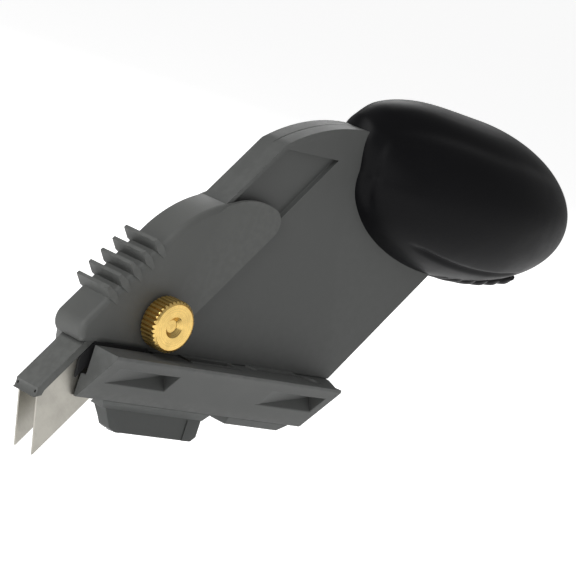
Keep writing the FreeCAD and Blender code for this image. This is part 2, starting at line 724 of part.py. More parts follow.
def build_shoe_block():
    """The V-shaped shoe with its blade slot, heel, tab pocket, scoop and screw holes."""
    body = new_body("shoe_block")
    section = (
        (-half_sole, ZERO),
        (half_sole, ZERO),
        (half_deck, bevel_rise),
        (half_deck, size.deck_height),
        (-half_deck, size.deck_height),
        (-half_deck, bevel_rise),
    )
    length = size.shoe_front + size.shoe_rear
    pad(body, "shoe_bar", "YZ_Plane", -size.shoe_front, length, [section])
    heel = (
        (size.shoe_rear - size.cutter_over, -half_deck + size.heel_inset),
        (size.shoe_rear + size.heel_length, -half_body - size.heel_margin),
        (size.shoe_rear + size.heel_length, half_body + size.heel_margin),
        (size.shoe_rear - size.cutter_over, half_deck - size.heel_inset),
    )
    pad(body, "heel", "XY_Plane", size.deck_height - size.heel_thick, size.heel_thick, [heel])
    ahead = size.shoe_front + size.cutter_over
    below = -size.cutter_over
    above = size.deck_height + size.cutter_over
    slot = (
        (-ahead, below),
        (x_at(recess_back, below), below),
        (x_at(recess_back, above), above),
        (-ahead, above),
    )
    cheek_slot_back = cheek_rear - size.part_gap
    pocket(body, "blade_slot", "XZ_Plane", -half_blade_slot, 2 * half_blade_slot, [slot])
    wide = (
        (-ahead, size.slot_step),
        (x_at(cheek_slot_back, size.slot_step), size.slot_step),
        (x_at(cheek_slot_back, above), above),
        (-ahead, above),
    )
    pocket(body, "cheek_slot", "XZ_Plane", -half_cheek_slot, 2 * half_cheek_slot, [wide])
    tab_space = (
        (-size.foot_tab_front, -size.foot_tab_thick / 2),
        (size.foot_tab_rear, -size.foot_tab_thick / 2),
        (size.foot_tab_rear, size.foot_tab_thick / 2),
        (-size.foot_tab_front, size.foot_tab_thick / 2),
    )
    depth = size.deck_height - size.foot_tab_low
    pocket(body, "tab_pocket", "XY_Plane", size.foot_tab_low, depth, [tab_space])
    scoop_low = half_body
    scoop_high = half_body + size.scoop_width
    lip = size.scoop_lip
    lip_outline = (
        (-size.scoop_front - lip, -scoop_high - lip),
        (-size.scoop_rear + lip, -scoop_high - lip),
        (-size.scoop_rear + lip, -scoop_low),
        (-size.scoop_front - lip, -scoop_low),
    )
    start = size.deck_height - size.feature_root
    pad(body, "scoop_lip", "XY_Plane", start, lip + size.feature_root, [lip_outline])
    scoop = (
        (-size.scoop_front, -scoop_high),
        (-size.scoop_rear - size.scoop_round, -scoop_high, size.scoop_round),
        (-size.scoop_rear, -scoop_high + size.scoop_round),
        (-size.scoop_rear, -scoop_low - lip),
        (-size.scoop_front, -scoop_low - lip),
    )
    depth = size.scoop_depth + 2 * size.cutter_over
    pocket(body, "scoop", "XY_Plane", size.deck_height - size.scoop_depth, depth, [scoop])
    for side, name in SIDES:
        inner = Size.of(side) * half_body
        outer = Size.of(side) * (half_body + size.gusset_width)
        gusset = (
            (size.gusset_front, -inner),
            (size.gusset_rear, -inner),
            (size.gusset_rear, -outer),
            (size.gusset_front + size.gusset_width * size.gusset_slant, -outer),
        )
        start = size.deck_height - size.feature_root
        pad(body, name + "_gusset", "XY_Plane", start, size.gusset_rise + size.feature_root, [gusset])
    marks = [(size.mark_x, y, size.mark_dia) for y in (-size.mark_y, size.mark_y)]
    depth = size.mark_depth + size.cutter_over
    pocket(body, "heel_marks", "XY_Plane", size.deck_height - size.mark_depth, depth, (), marks)
    shoe_holes = [(Size.of(x), ZERO, size.shoe_screw_dia) for x in SHOE_SCREWS]
    through = size.foot_tab_low + 2 * size.cutter_over
    pocket(body, "shoe_screw_holes", "XY_Plane", below, through, (), shoe_holes)
    head_holes = [(Size.of(x), ZERO, size.shoe_head_dia) for x in SHOE_SCREWS]
    head_depth = size.shoe_head_height + size.cutter_over
    pocket(body, "shoe_head_holes", "XY_Plane", below, head_depth, (), head_holes)
    small_holes = [(Size.of(x), ZERO, size.foot_screw_dia) for x in FOOT_SCREWS + STRIP_SCREWS]
    depth = size.foot_hole_depth
    pocket(body, "small_screw_holes", "XY_Plane", below, depth, (), small_holes)
    full_width_x = size.far_slant - size.shoe_front
    beside = half_deck + size.cutter_over
    right_corner = (
        (-ahead, size.far_front),
        (-size.shoe_front, size.far_front),
        (full_width_x, half_deck),
        (full_width_x, beside),
        (-ahead, beside),
    )
    pocket(body, "right_corner", "XY_Plane", below, above - below, [right_corner])
    return body


POINT = 0.05


def wedge_pocket(name, x):
    """The tool for one wedge pocket: flush at its front end, with a three-cornered rear wall."""
    wedge = doc.addObject("Part::Wedge", name)
    for prop, value in (
        ("Xmin", ZERO), ("Xmax", size.pocket_length),
        ("X2min", size.pocket_length - POINT), ("X2max", size.pocket_length),
        ("Ymin", ZERO), ("Ymax", size.pocket_depth),
        ("Zmin", ZERO), ("Zmax", size.pocket_height),
        ("Z2min", size.pocket_deepest), ("Z2max", size.pocket_deepest + POINT),
    ):
        bind(wedge, prop, value)
    out = -(half_sole + size.pocket_low * bevel_run / bevel_rise)
    place(wedge, x, out, size.pocket_low, turned(ALONG_X, bevel_angle))
    return wedge


def build_shoe():
    """The shoe block less its four wedge pockets."""
    front = wedge_pocket("front_wedge", -size.front_pocket_x)
    near = [front, wedge_pocket("rear_wedge", size.rear_pocket_x)]
    near_pair = fuse("near_wedges", near)
    wedges = fuse("wedges", [near_pair, mirrored("far_wedges", near_pair)])
    return finish(cut("shoe_result", build_shoe_block(), wedges), "shoe")


build_shoe()

shoe_screw_places = [(Size.of(x), ZERO, ZERO) for x in SHOE_SCREWS]
build_screws("shoe_screws", shoe_screw_places, UPRIGHT, size.shoe_head_dia, size.shoe_head_height,
             size.shoe_screw_dia, size.shoe_screw_length)


def keel(name, front, rear, front_draft, rear_draft):
    """A keel plate whose sides go on from the bevel faces."""
    wedge = doc.addObject("Part::Wedge", name)
    half_top = half_sole
    half_low = size.keel_width / 2
    for prop, value in (
        ("Xmin", front), ("Xmax", rear), ("X2min", front + front_draft), ("X2max", rear - rear_draft),
        ("Ymin", ZERO), ("Ymax", size.keel_height),
        ("Zmin", -half_top), ("Zmax", half_top), ("Z2min", -half_low), ("Z2max", half_low),
    ):
        bind(wedge, prop, value)
    place(wedge, ZERO, ZERO, ZERO, turned(ALONG_X, -90))
    return wedge


def drill(name, base, places, low, depth, diameter):
    """Drill a keel piece from below."""
    drills = []
    for number, x in enumerate(places):
        tool = cylinder("%s_%d" % (name, number), Size.of(diameter) / 2, depth)
        place(tool, Size.of(x), ZERO, low, UPRIGHT)
        drills.append(tool)
    return cut(name, base, fuse(name + "_tools", drills))


def build_guide_foot():
    """The guide foot: a keel flange and the block that runs in a rail's groove."""
    block = new_body("foot_block")
    low = -size.foot_drop
    side_view = (
        (-size.foot_front, -size.keel_height + size.feature_root),
        (-size.foot_front + size.foot_rake, low + size.foot_toe_rise),
        (-size.foot_front + size.foot_rake + size.foot_toe, low),
        (-size.foot_rear - size.foot_heel, low),
        (-size.foot_rear, low + size.foot_heel_rise),
        (-size.foot_rear, -size.keel_height + size.feature_root),
    )
    pad(block, "foot_bar", "XZ_Plane", -size.foot_width / 2, size.foot_width, [side_view])
    panel = (
        (-size.foot_front + size.panel_front, -size.keel_height - size.panel_top),
        (-size.foot_front + size.panel_front, low - size.cutter_over),
        (-size.foot_rear - size.panel_rear, low - size.cutter_over),
        (-size.foot_rear - size.panel_rear, -size.keel_height - size.panel_top),
    )
    depth = size.panel_depth
    for side, name in SIDES:
        inner = size.foot_width / 2 - depth
        pocket(block, name + "_panel", "XZ_Plane", start_on(side, inner, depth), depth, [panel])
    flange = keel("foot_flange", -size.foot_front - size.flange_front, -size.foot_rear + size.flange_rear,
                  size.flange_front_draft, size.flange_rear_draft)
    blank = fuse("foot_blank", [flange, block])
    start = low - size.cutter_over
    drilled = drill("foot_holes", blank, FOOT_SCREWS, start, size.foot_drop + 2 * size.cutter_over,
                    size.foot_screw_dia)
    sunk = size.foot_head_height + size.cutter_over
    result = drill("foot_heads", drilled, FOOT_SCREWS, start, sunk, size.foot_head_dia)
    return finish(result, "guide_foot")


def build_rear_strip():
    """The rear keel strip."""
    blank = keel("strip_blank", size.strip_front, size.strip_rear,
                 size.strip_front_draft, size.strip_rear_draft)
    start = -size.keel_height - size.cutter_over
    through = size.keel_height + 2 * size.cutter_over
    drilled = drill("strip_holes", blank, STRIP_SCREWS, start, through, size.foot_screw_dia)
    sunk = size.foot_head_height + size.cutter_over
    result = drill("strip_heads", drilled, STRIP_SCREWS, start, sunk, size.foot_head_dia)
    return finish(result, "sole_strip")


build_guide_foot()
build_rear_strip()
foot_screw_places = [(Size.of(x), ZERO, -size.foot_drop) for x in FOOT_SCREWS]
build_screws("foot_screws", foot_screw_places, UPRIGHT, size.foot_head_dia, size.foot_head_height,
             size.foot_screw_dia, size.foot_drop + size.small_screw_hold)
strip_screw_places = [(Size.of(x), ZERO, -size.keel_height) for x in STRIP_SCREWS]
build_screws("strip_screws", strip_screw_places, UPRIGHT, size.foot_head_dia, size.foot_head_height,
             size.foot_screw_dia, size.keel_height + size.small_screw_hold)


# ---------------------------------------------------------------- the sliding saddle and its blades

def build_saddle():
    """The thumb slide: two cheeks and a ribbed spine that ride on the front of the bar."""
    body = new_body("thumb_slide", track_placement())
    front = size.saddle_front
    low = size.saddle_low
    high = size.cheek_high
    bottom = size.deck_height + size.saddle_lift
    back = cheek_rear
    nose = size.nose_round
    bend = size.spine_bend
    run = size.spine_end - size.spine_straight
    spine_low = front - bend + (bend * bend - run * run).root()
    outline = (
        (along_at(back, bottom), back),
        (along_at(front - size.saddle_toe, bottom), front - size.saddle_toe),
        (low, front - nose, -nose),
        (low + nose, front),
        (size.spine_straight, front, -bend),
        (size.spine_end, spine_low, -size.crown_round),
        (high, back + size.crown_high, -size.tail_round),
        (high - size.tail_length, back),
    )
    width = 2 * cheek_outer
    pad(body, "saddle_bar", "XY_Plane", -cheek_outer, width, [outline])
    inside = body.Placement.inverse()
    ridge = []
    for number, edge in enumerate(body.Shape.Edges, start=1):
        centre = inside.multVec(edge.CenterOfMass)
        on_side = abs(abs(centre.z) - cheek_outer.number) < 0.01
        if on_side and centre.y > (front - size.shoulder_reach).number and centre.x < size.spine_end.number:
            ridge.append("Edge%d" % number)
    round_edges(body, "saddle_round", ridge, size.shoulder_round)
    inner_front = size.body_front + size.part_gap
    over = 2 * size.cutter_over
    channel = (
        (low - over, back - over),
        (high + over, back - over),
        (high + over, inner_front),
        (low - over, inner_front),
    )
    pocket(body, "saddle_channel", "XY_Plane", -cheek_inner, 2 * cheek_inner, [channel])
    for number in range(int(size.rib_count.number)):
        along = size.rib_first + size.rib_pitch * number
        foot = size.rib_thick / 2
        tip = size.rib_tip / 2
        rib = (
            (along - tip, front - size.rib_wrap),
            (along + tip, front - size.rib_wrap),
            (along + foot, front),
            (along + tip, front + size.rib_rise),
            (along - tip, front + size.rib_rise),
            (along - foot, front),
        )
        reach = cheek_outer + size.rib_overhang
        pad(body, "rib_%d" % number, "XY_Plane", -reach, 2 * reach, [rib])
    key_end = along_at(lip_back, size.recess_top) - size.travel_up - size.cutter_over
    for side, name in SIDES:
        key = (
            (size.key_start, recess_back + size.part_gap),
            (key_end, recess_back + size.part_gap),
            (key_end, lip_back - size.part_gap),
            (size.key_start, lip_back - size.part_gap),
        )
        inner = half_web + size.part_gap
        depth = cheek_inner - inner
        pad(body, name + "_key", "XY_Plane", start_on(side, inner, depth), depth, [key])
    hole = [(size.stud_s, size.stud_d, stud_hole)]
    pocket(body, "stud_holes", "XY_Plane", -cheek_outer - over, width + 2 * over, (), hole)
    return finish(body, "thumb_slide")


PEGS = (-32.0, -21.5)


def build_holder():
    """The blade holder: a hood over the blade backs, the web between them and the blade pegs."""
    body = new_body("blade_holder", track_placement())
    hood_front = size.body_front
    hood_back = hood_front - size.hood_thick
    low = size.hood_low
    high = size.hood_high
    hood = (
        (low, hood_back + size.hood_nose_lift),
        (low + size.hood_nose_kink, hood_back - size.hood_nose_drop),
        (low + size.hood_nose, hood_back),
        (high, hood_back),
        (high, hood_front),
        (low + size.hood_round_length, hood_front, -size.hood_round),
    )
    pad(body, "hood", "XY_Plane", -half_hood, 2 * half_hood, [hood])
    web = (
        (low + size.web_low, hood_back + size.feature_root),
        (low + size.web_low + size.web_slant, hood_back - size.holder_web),
        (high, hood_back - size.holder_web),
        (high, hood_back + size.feature_root),
    )
    pad(body, "holder_web", "XY_Plane", -half_web, 2 * half_web, [web])
    blade_back = edge_line + size.blade_width
    end_slant = (blade_back - hood_back) * size.blade_taper / size.blade_width
    groove_start = size.blade_tip + size.blade_taper - end_slant - size.peg_gap
    groove_end = size.blade_tip + size.blade_length - size.blade_taper + end_slant + size.peg_gap
    for side, name in SIDES:
        gap = size.blade_gap
        groove = (
            (groove_start, hood_back - 2 * size.cutter_over),
            (groove_end, hood_back - 2 * size.cutter_over),
            (groove_end, blade_back + gap),
            (groove_start, blade_back + gap),
        )
        inner = blade_inner - gap
        depth = size.blade_thick + 2 * gap
        pocket(body, name + "_groove", "XY_Plane", start_on(side, inner, depth), depth, [groove])
        for number, along in enumerate(PEGS):
            half = size.peg_size / 2 - size.peg_gap
            top = blade_back + gap
            peg = (
                (along - half, top - size.peg_depth),
                (along + half, top - size.peg_depth),
                (along + half, top + size.peg_root),
                (along - half, top + size.peg_root),
            )
            inner = half_web - size.feature_root
            depth = blade_outer - inner
            start = start_on(side, inner, depth)
            pad(body, "%s_peg_%d" % (name, number), "XY_Plane", start, depth, [peg])
    return finish(body, "blade_holder")


def build_blade(side, name):
    """One trapezoid blade with two notches and a ground edge."""
    body = new_body("blade_" + name, track_placement())
    tip = size.blade_tip
    end = tip + size.blade_length
    edge = edge_line
    back = edge + size.blade_width
    taper = size.blade_taper
    outline = [(tip, edge), (end, edge), (end - taper, back)]
    for along in reversed(PEGS):
        half = size.peg_size / 2
        outline += [
            (along + half, back),
            (along + half, back - size.peg_depth),
            (along - half, back - size.peg_depth),
            (along - half, back),
        ]
    outline.append((tip + taper, back))
    start = start_on(side, blade_inner, size.blade_thick)
    pad(body, name + "_sheet", "XY_Plane", start, size.blade_thick, [outline])
    middle = start + size.blade_thick / 2
    flat = size.edge_flat
    over = size.cutter_over
    for number, direction in enumerate((1, -1)):
        bevel = (
            (edge, middle + direction * flat),
            (edge + size.blade_bevel, middle + direction * size.blade_thick / 2),
            (edge + size.blade_bevel, middle + direction * size.blade_thick),
            (edge - over, middle + direction * size.blade_thick),
            (edge - over, middle + direction * flat),
        )
        length = size.blade_length + 2 * over
        pocket(body, "%s_bevel_%d" % (name, number), "YZ_Plane", tip - over, length, [bevel])
    return finish(body, "blade_" + name)


def build_keeper(side, name):
    """The thin plate that keeps a blade on its pegs."""
    body = new_body("keeper_" + name, track_placement())
    back = recess_back + size.part_gap
    top = size.body_front - size.hood_thick - size.keeper_gap
    clear_of_step = size.slot_step + size.travel_down * SIN + size.part_gap
    toe = size.keeper_toe
    outline = (
        (along_at(back, clear_of_step), back),
        (size.keeper_high, back),
        (size.keeper_high, top),
        (size.keeper_low + top - toe, top),
        (size.keeper_low, toe),
        (along_at(toe, clear_of_step), toe),
    )
    start = start_on(side, blade_outer + size.blade_gap, size.keeper_thick)
    hole = [(size.stud_s, size.stud_d, stud_hole)]
    pad(body, name + "_keeper", "XY_Plane", start, size.keeper_thick, [outline])
    pocket(body, name + "_keeper_hole", "XY_Plane", start, size.keeper_thick, (), hole)
    return finish(body, "keeper_" + name)


build_saddle()
build_holder()
for part_side, part_name in SIDES:
    build_blade(part_side, part_name)
    build_keeper(part_side, part_name)

stud_x, stud_z = on_track(size.stud_s, size.stud_d)
washer_outer = cheek_outer + size.washer_thick
nut_start = washer_outer + size.nut_face_gap
nut_end = nut_start + size.nut_length
bore = size.stud_dia / 2 + size.thread_gap


def build_bush():
    """The bush that slides in the bar's slot and keeps the saddle straight."""
    body = new_body("stud_bush", track_placement())
    half_long = size.bush_length / 2
    half_wide = size.bush_width / 2
    outline = (
        (size.stud_s - half_long, size.stud_d - half_wide),
        (size.stud_s + half_long, size.stud_d - half_wide),
        (size.stud_s + half_long, size.stud_d + half_wide),
        (size.stud_s - half_long, size.stud_d + half_wide),
    )
    reach = blade_outer
    pad(body, "bush_block", "XY_Plane", -reach, 2 * reach, [outline])
    hole = [(size.stud_s, size.stud_d, 2 * bore)]
    pocket(body, "bush_bore", "XY_Plane", -reach, 2 * reach, (), hole)
    return finish(body, "stud_bush")


def build_stud():
    """The clamp stud with its socket head on the right side."""
    reach = nut_end - size.stud_short
    length = reach + washer_outer
    shank = cylinder("stud_shank", size.stud_dia / 2, length)
    place(shank, stud_x, washer_outer, stud_z, TO_LEFT)
    head = cylinder("stud_head", size.stud_head_dia / 2, size.stud_head_height)
    place(head, stud_x, washer_outer, stud_z, TO_RIGHT)
    socket = doc.addObject("Part::Prism", "stud_socket")
    socket.Polygon = 6
    bind(socket, "Circumradius", size.stud_dia * size.stud_socket_share)
    bind(socket, "Height", size.stud_head_height)
    place(socket, stud_x, washer_outer + size.stud_socket_start, stud_z, TO_RIGHT)
    return finish(cut("stud_result", fuse("stud_blank", [shank, head]), socket), "clamp_stud")


def build_washer(side, name):
    """A plain washer between a cheek and the nut or the stud's head."""
    blank = cylinder(name + "_disc", size.washer_dia / 2, size.washer_thick)
    hole = cylinder(name + "_hole", size.stud_dia / 2 + size.hole_gap, size.washer_thick)
    for part in (blank, hole):
        place(part, stud_x, Size.of(-side) * cheek_outer, stud_z, TO_LEFT if side == LEFT else TO_RIGHT)
    return finish(cut(name + "_result", blank, hole), name)


def build_nut():
    """The brass thumb nut: straight knurl, chamfered rims and a countersunk bore."""
    placement = FreeCAD.Placement(FreeCAD.Vector(stud_x.number, 0, stud_z.number), TO_LEFT)
    body = new_body("thumb_nut", placement)
    radius = size.nut_dia / 2
    rim = size.nut_chamfer
    countersink = size.nut_countersink
    profile = (
        (bore, nut_start),
        (radius - rim, nut_start),
        (radius, nut_start + rim),
        (radius, nut_end - rim),
        (radius - rim, nut_end),
        (bore + countersink, nut_end),
        (bore, nut_end - countersink),
    )
    sketch = new_sketch(body, "nut_profile", "XZ_Plane", ZERO, [profile])
    turn = body.newObject("PartDesign::Revolution", "nut_turning")
    turn.Profile = sketch
    turn.ReferenceAxis = (sketch, ["V_Axis"])
    turn.Angle = 360
    doc.recompute()
    half_pitch = radius * (math.pi / size.nut_teeth.number) * size.knurl_share
    groove = (
        (radius - size.knurl_depth, ZERO),
        (radius + size.knurl_over, half_pitch),
        (radius + size.knurl_over, -half_pitch),
    )
    over = size.cutter_over
    tooth = pocket(body, "knurl_groove", "XY_Plane", nut_start - over, size.nut_length + 2 * over, [groove])
    pattern = body.newObject("PartDesign::PolarPattern", "knurl")
    pattern.Originals = [tooth]
    pattern.Axis = (sketch, ["V_Axis"])
    pattern.Angle = 360
    bind(pattern, "Occurrences", size.nut_teeth)
    body.Tip = pattern
    doc.recompute()
    return finish(body, "thumb_nut")


build_bush()
build_stud()
build_washer(LEFT, "nut_washer")
build_washer(RIGHT, "stud_washer")
build_nut()


# ---------------------------------------------------------------- the palm grip

def grip_egg(name, shrink):
    """The grip's ellipsoid, made smaller by a thickness."""
    egg = doc.addObject("Part::Ellipsoid", name)
    bind(egg, "Radius1", size.grip_high - shrink)
    bind(egg, "Radius2", size.grip_long - shrink)
    bind(egg, "Radius3", size.grip_wide - shrink)
    place(egg, size.grip_x, ZERO, size.grip_z, turned(ALONG_Y, size.grip_tilt.number))
    return egg


def tang_slab(name):
    """The space that the bar takes inside the grip."""
    body = new_body(name)
    pad(body, name + "_pad", "XZ_Plane", -half_body, size.body_thick, [bar_outline()])
    return body


def side_block(side, name):
    """The half space on one side of the mid-plane, as large as the grip."""
    reach = 2 * size.grip_long
    low_y = -size.grip_wide if side == LEFT else ZERO
    low = (size.grip_x - reach / 2, low_y, size.grip_z - size.grip_wide)
    high = (size.grip_x + reach / 2, low_y + size.grip_wide, size.grip_z + size.grip_wide)
    return box(name + "_half", low, high)


def build_core(side, name):
    """One hard half of the grip's core, hollow towards the bar's tang."""
    half = common(name + "_half_egg", grip_egg(name + "_egg", size.cover_thick), side_block(side, name))
    deep = size.cover_thick + size.core_wall
    inner_y = half_body + size.core_web
    low_y = -size.grip_wide if side == LEFT else inner_y
    high_y = -inner_y if side == LEFT else size.grip_wide
    low = (size.grip_x - size.core_hollow, low_y, size.grip_z - size.grip_wide)
    high = (size.grip_x + size.core_hollow, high_y, size.grip_z + size.grip_wide)
    hollow_box = box(name + "_hollow_box", low, high)
    hollow = common(name + "_hollow", grip_egg(name + "_inner_egg", deep), hollow_box)
    bosses = []
    for number, (x, z) in enumerate(CORE_SCREWS):
        boss = cylinder("%s_boss_%d" % (name, number), size.boss_dia / 2, size.grip_wide)
        place(boss, Size.of(x), ZERO, Size.of(z), TO_LEFT if side == LEFT else TO_RIGHT)
        bosses.append(boss)
    room = cut(name + "_room", hollow, fuse(name + "_bosses", bosses))
    shell = cut(name + "_shell", cut(name + "_slotted", half, tang_slab(name + "_tang")), room)
    holes = []
    for number, (x, z) in enumerate(CORE_SCREWS):
        hole = cylinder("%s_core_hole_%d" % (name, number), size.shell_screw_dia / 2, CORE_SCREW_REACH)
        place(hole, Size.of(x), ZERO, Size.of(z), TO_LEFT if side == LEFT else TO_RIGHT)
        holes.append(hole)
        if side == RIGHT:
            head = cylinder("core_head_%d" % number, size.shell_head_dia / 2, size.grip_wide)
            place(head, Size.of(x), CORE_HEAD_Y, Size.of(z), TO_RIGHT)
            holes.append(head)
    result = cut(name + "_core_result", shell, fuse(name + "_core_holes_tool", holes))
    return finish(result, "grip_core_" + name)


CORE_SCREW_REACH = half_body + size.core_screw_reach
CORE_HEAD_Y = CORE_SCREW_REACH - size.shell_head_height

for core_side, core_name in SIDES:
    build_core(core_side, core_name)

core_screw_places = [(Size.of(x), CORE_SCREW_REACH, Size.of(z)) for x, z in CORE_SCREWS]
build_screws("core_screws", core_screw_places, TO_LEFT, size.shell_head_dia, size.shell_head_height,
             size.shell_screw_dia, 2 * half_body + size.core_screw_reach + size.core_screw_hold)


def build_cover():
    """The soft cover over the core."""
    skin = cut("cover_skin", grip_egg("cover_outer", ZERO), grip_egg("cover_inner", size.cover_thick))
    return finish(cut("cover_result", skin, tang_slab("cover_tang")), "grip_cover")


def build_grip_pad():
    """The ridged finger pad under the grip."""
    low = (size.pad_front, -size.pad_width / 2, size.pad_top - size.pad_height)
    high = (size.pad_rear, size.pad_width / 2, size.pad_top)
    band = common("pad_band", grip_egg("pad_egg", -size.pad_rise), box("pad_box", low, high))
    blank = cut("pad_blank", band, grip_egg("pad_seat", ZERO))
    slotted = cut("pad_slotted", blank, tang_slab("pad_tang"))
    tools = []
    count = int(size.pad_ridges.number)
    pitch = (size.pad_rear - size.pad_front) / count
    over = size.cutter_over
    for number in range(count):
        groove = cylinder("pad_groove_%d" % number, pitch * size.pad_groove, size.pad_width + 2 * over)
        across = number + 0.5
        offset = (size.pad_front + pitch * across - size.grip_x) / (size.grip_long + size.pad_rise)
        drop = math.sqrt(1 - offset.number * offset.number) * (size.grip_high + size.pad_rise).number
        height = size.grip_z - drop - pitch * size.pad_groove_low
        place(groove, size.pad_front + pitch * across, size.pad_width / 2 + over, height, TO_LEFT)
        tools.append(groove)
    return finish(cut("pad_result", slotted, fuse("pad_grooves", tools)), "grip_pad")


build_cover()
build_grip_pad()


# ---------------------------------------------------------------- checks and export

doc.recompute()
for thing in doc.Objects:
    for flag in ("Invalid", "Error"):
        if flag in thing.State:
            raise RuntimeError("%s is %s" % (thing.Label, flag))
for label, thing in NODES:
    if thing.Shape.isNull() or not thing.Shape.isValid():
        raise RuntimeError(label + " has no valid shape")
    if not thing.Shape.Solids:
        raise RuntimeError(label + " has no solid")

os.makedirs("parts", exist_ok=True)
for label, thing in NODES:
    thing.Shape.exportStep("parts/%s.step" % label)
    limits = thing.Shape.BoundBox
    print("%-18s solids %d  volume %8.1f  x %6.1f %6.1f  y %6.1f %6.1f  z %6.1f %6.1f" % (
        label, len(thing.Shape.Solids), thing.Shape.Volume, limits.XMin, limits.XMax,
        limits.YMin, limits.YMax, limits.ZMin, limits.ZMax))
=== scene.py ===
import json
import logging
import math
from dataclasses import dataclass, field
from enum import Enum

import bmesh
import bpy
from mathutils import Matrix, Vector
from mathutils.bvhtree import BVHTree
from mathutils.kdtree import KDTree


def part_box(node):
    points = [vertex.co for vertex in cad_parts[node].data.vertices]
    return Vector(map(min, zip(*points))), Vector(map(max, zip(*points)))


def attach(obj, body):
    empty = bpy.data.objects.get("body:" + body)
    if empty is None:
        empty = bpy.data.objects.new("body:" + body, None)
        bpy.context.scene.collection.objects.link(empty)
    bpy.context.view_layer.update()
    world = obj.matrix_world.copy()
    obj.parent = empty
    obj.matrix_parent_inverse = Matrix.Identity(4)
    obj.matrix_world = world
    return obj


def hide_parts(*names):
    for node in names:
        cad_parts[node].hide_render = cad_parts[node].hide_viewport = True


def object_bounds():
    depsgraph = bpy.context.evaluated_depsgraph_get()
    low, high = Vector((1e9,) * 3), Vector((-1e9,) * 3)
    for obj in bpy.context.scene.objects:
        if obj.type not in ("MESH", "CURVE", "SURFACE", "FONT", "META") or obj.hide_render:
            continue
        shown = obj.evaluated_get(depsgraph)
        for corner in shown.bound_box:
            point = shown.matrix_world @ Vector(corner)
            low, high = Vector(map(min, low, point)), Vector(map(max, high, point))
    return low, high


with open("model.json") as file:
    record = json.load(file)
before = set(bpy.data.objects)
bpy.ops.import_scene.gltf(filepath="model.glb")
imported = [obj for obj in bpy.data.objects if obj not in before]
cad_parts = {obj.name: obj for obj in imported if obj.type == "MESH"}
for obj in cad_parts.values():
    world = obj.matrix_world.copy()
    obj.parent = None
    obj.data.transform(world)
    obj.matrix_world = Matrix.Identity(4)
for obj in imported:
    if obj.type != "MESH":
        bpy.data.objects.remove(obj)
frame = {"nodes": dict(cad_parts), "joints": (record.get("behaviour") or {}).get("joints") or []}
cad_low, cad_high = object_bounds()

log = logging.getLogger("cutter")
logging.basicConfig(level=logging.INFO, format="%(name)s: %(message)s")

MM = 0.001
Colour = tuple[float, float, float, float]
Span = tuple[float, float]
WHITE: Colour = (1.0, 1.0, 1.0, 1.0)


class Rider(Enum):
    """The moving bodies of the tool."""

    TOOL = "tool_body"
    CARRIAGE = "carriage"
    NUT = "nut"


class Slot(Enum):
    """The record's material slots."""

    BODY = "body_plastic"
    SLIDE = "slide_plastic"
    SHOE = "shoe_plastic"
    FOOT = "foot_plastic"
    RUBBER = "grip_rubber"
    BRASS = "brass"


# ---------------------------------------------------------------- node wiring

@dataclass
class Wiring:
    """Adds and joins the nodes of one tree."""

    tree: bpy.types.NodeTree

    def add(self, kind: str, **settings: object) -> bpy.types.Node:
        """Add a node.

        Args:
            kind: the node's type name.
            settings: properties set on the node.

        Returns:
            The new node.
        """
        node = self.tree.nodes.new(kind)
        for name, value in settings.items():
            setattr(node, name, value)
        return node

    def join(self, source: bpy.types.NodeSocket, target: bpy.types.NodeSocket) -> None:
        """Link an output to an input."""
        self.tree.links.new(source, target)

    def maths(self, operation: str, first: object, second: object = 0.0) -> bpy.types.NodeSocket:
        """Add a Math node.

        Args:
            operation: the node's operation.
            first: a socket or a number.
            second: a socket or a number.

        Returns:
            The node's output.
        """
        node = self.add("ShaderNodeMath", operation=operation)
        for place, value in enumerate((first, second)):
            if isinstance(value, bpy.types.NodeSocket):
                self.join(value, node.inputs[place])
            else:
                node.inputs[place].default_value = value
        return node.outputs[0]

    def remap(
        self, value: bpy.types.NodeSocket, span: Span, to: Span,
    ) -> bpy.types.NodeSocket:
        """Map a value smoothly from one span to another.

        Args:
            value: the value to map.
            span: lowest and highest input.
            to: what they become.

        Returns:
            The mapped value.
        """
        node = self.add("ShaderNodeMapRange", interpolation_type="SMOOTHSTEP")
        self.join(value, node.inputs["Value"])
        for name, number in zip(("From Min", "From Max", "To Min", "To Max"), (*span, *to)):
            node.inputs[name].default_value = number
        return node.outputs["Result"]


def open_group(
    name: str, inputs: dict[str, str], outputs: dict[str, str],
) -> tuple[Wiring, bpy.types.Node, bpy.types.Node]:
    """Start a shader node group.

    Args:
        name: the group's name.
        inputs: input names and their socket types.
        outputs: output names and their socket types.

    Returns:
        The group's wiring, its input node and its output node.
    """
    tree = bpy.data.node_groups.new(name, "ShaderNodeTree")
    for label, kind in inputs.items():
        tree.interface.new_socket(name=label, in_out="INPUT", socket_type=kind)
    for label, kind in outputs.items():
        tree.interface.new_socket(name=label, in_out="OUTPUT", socket_type=kind)
    wiring = Wiring(tree)
    return wiring, wiring.add("NodeGroupInput"), wiring.add("NodeGroupOutput")


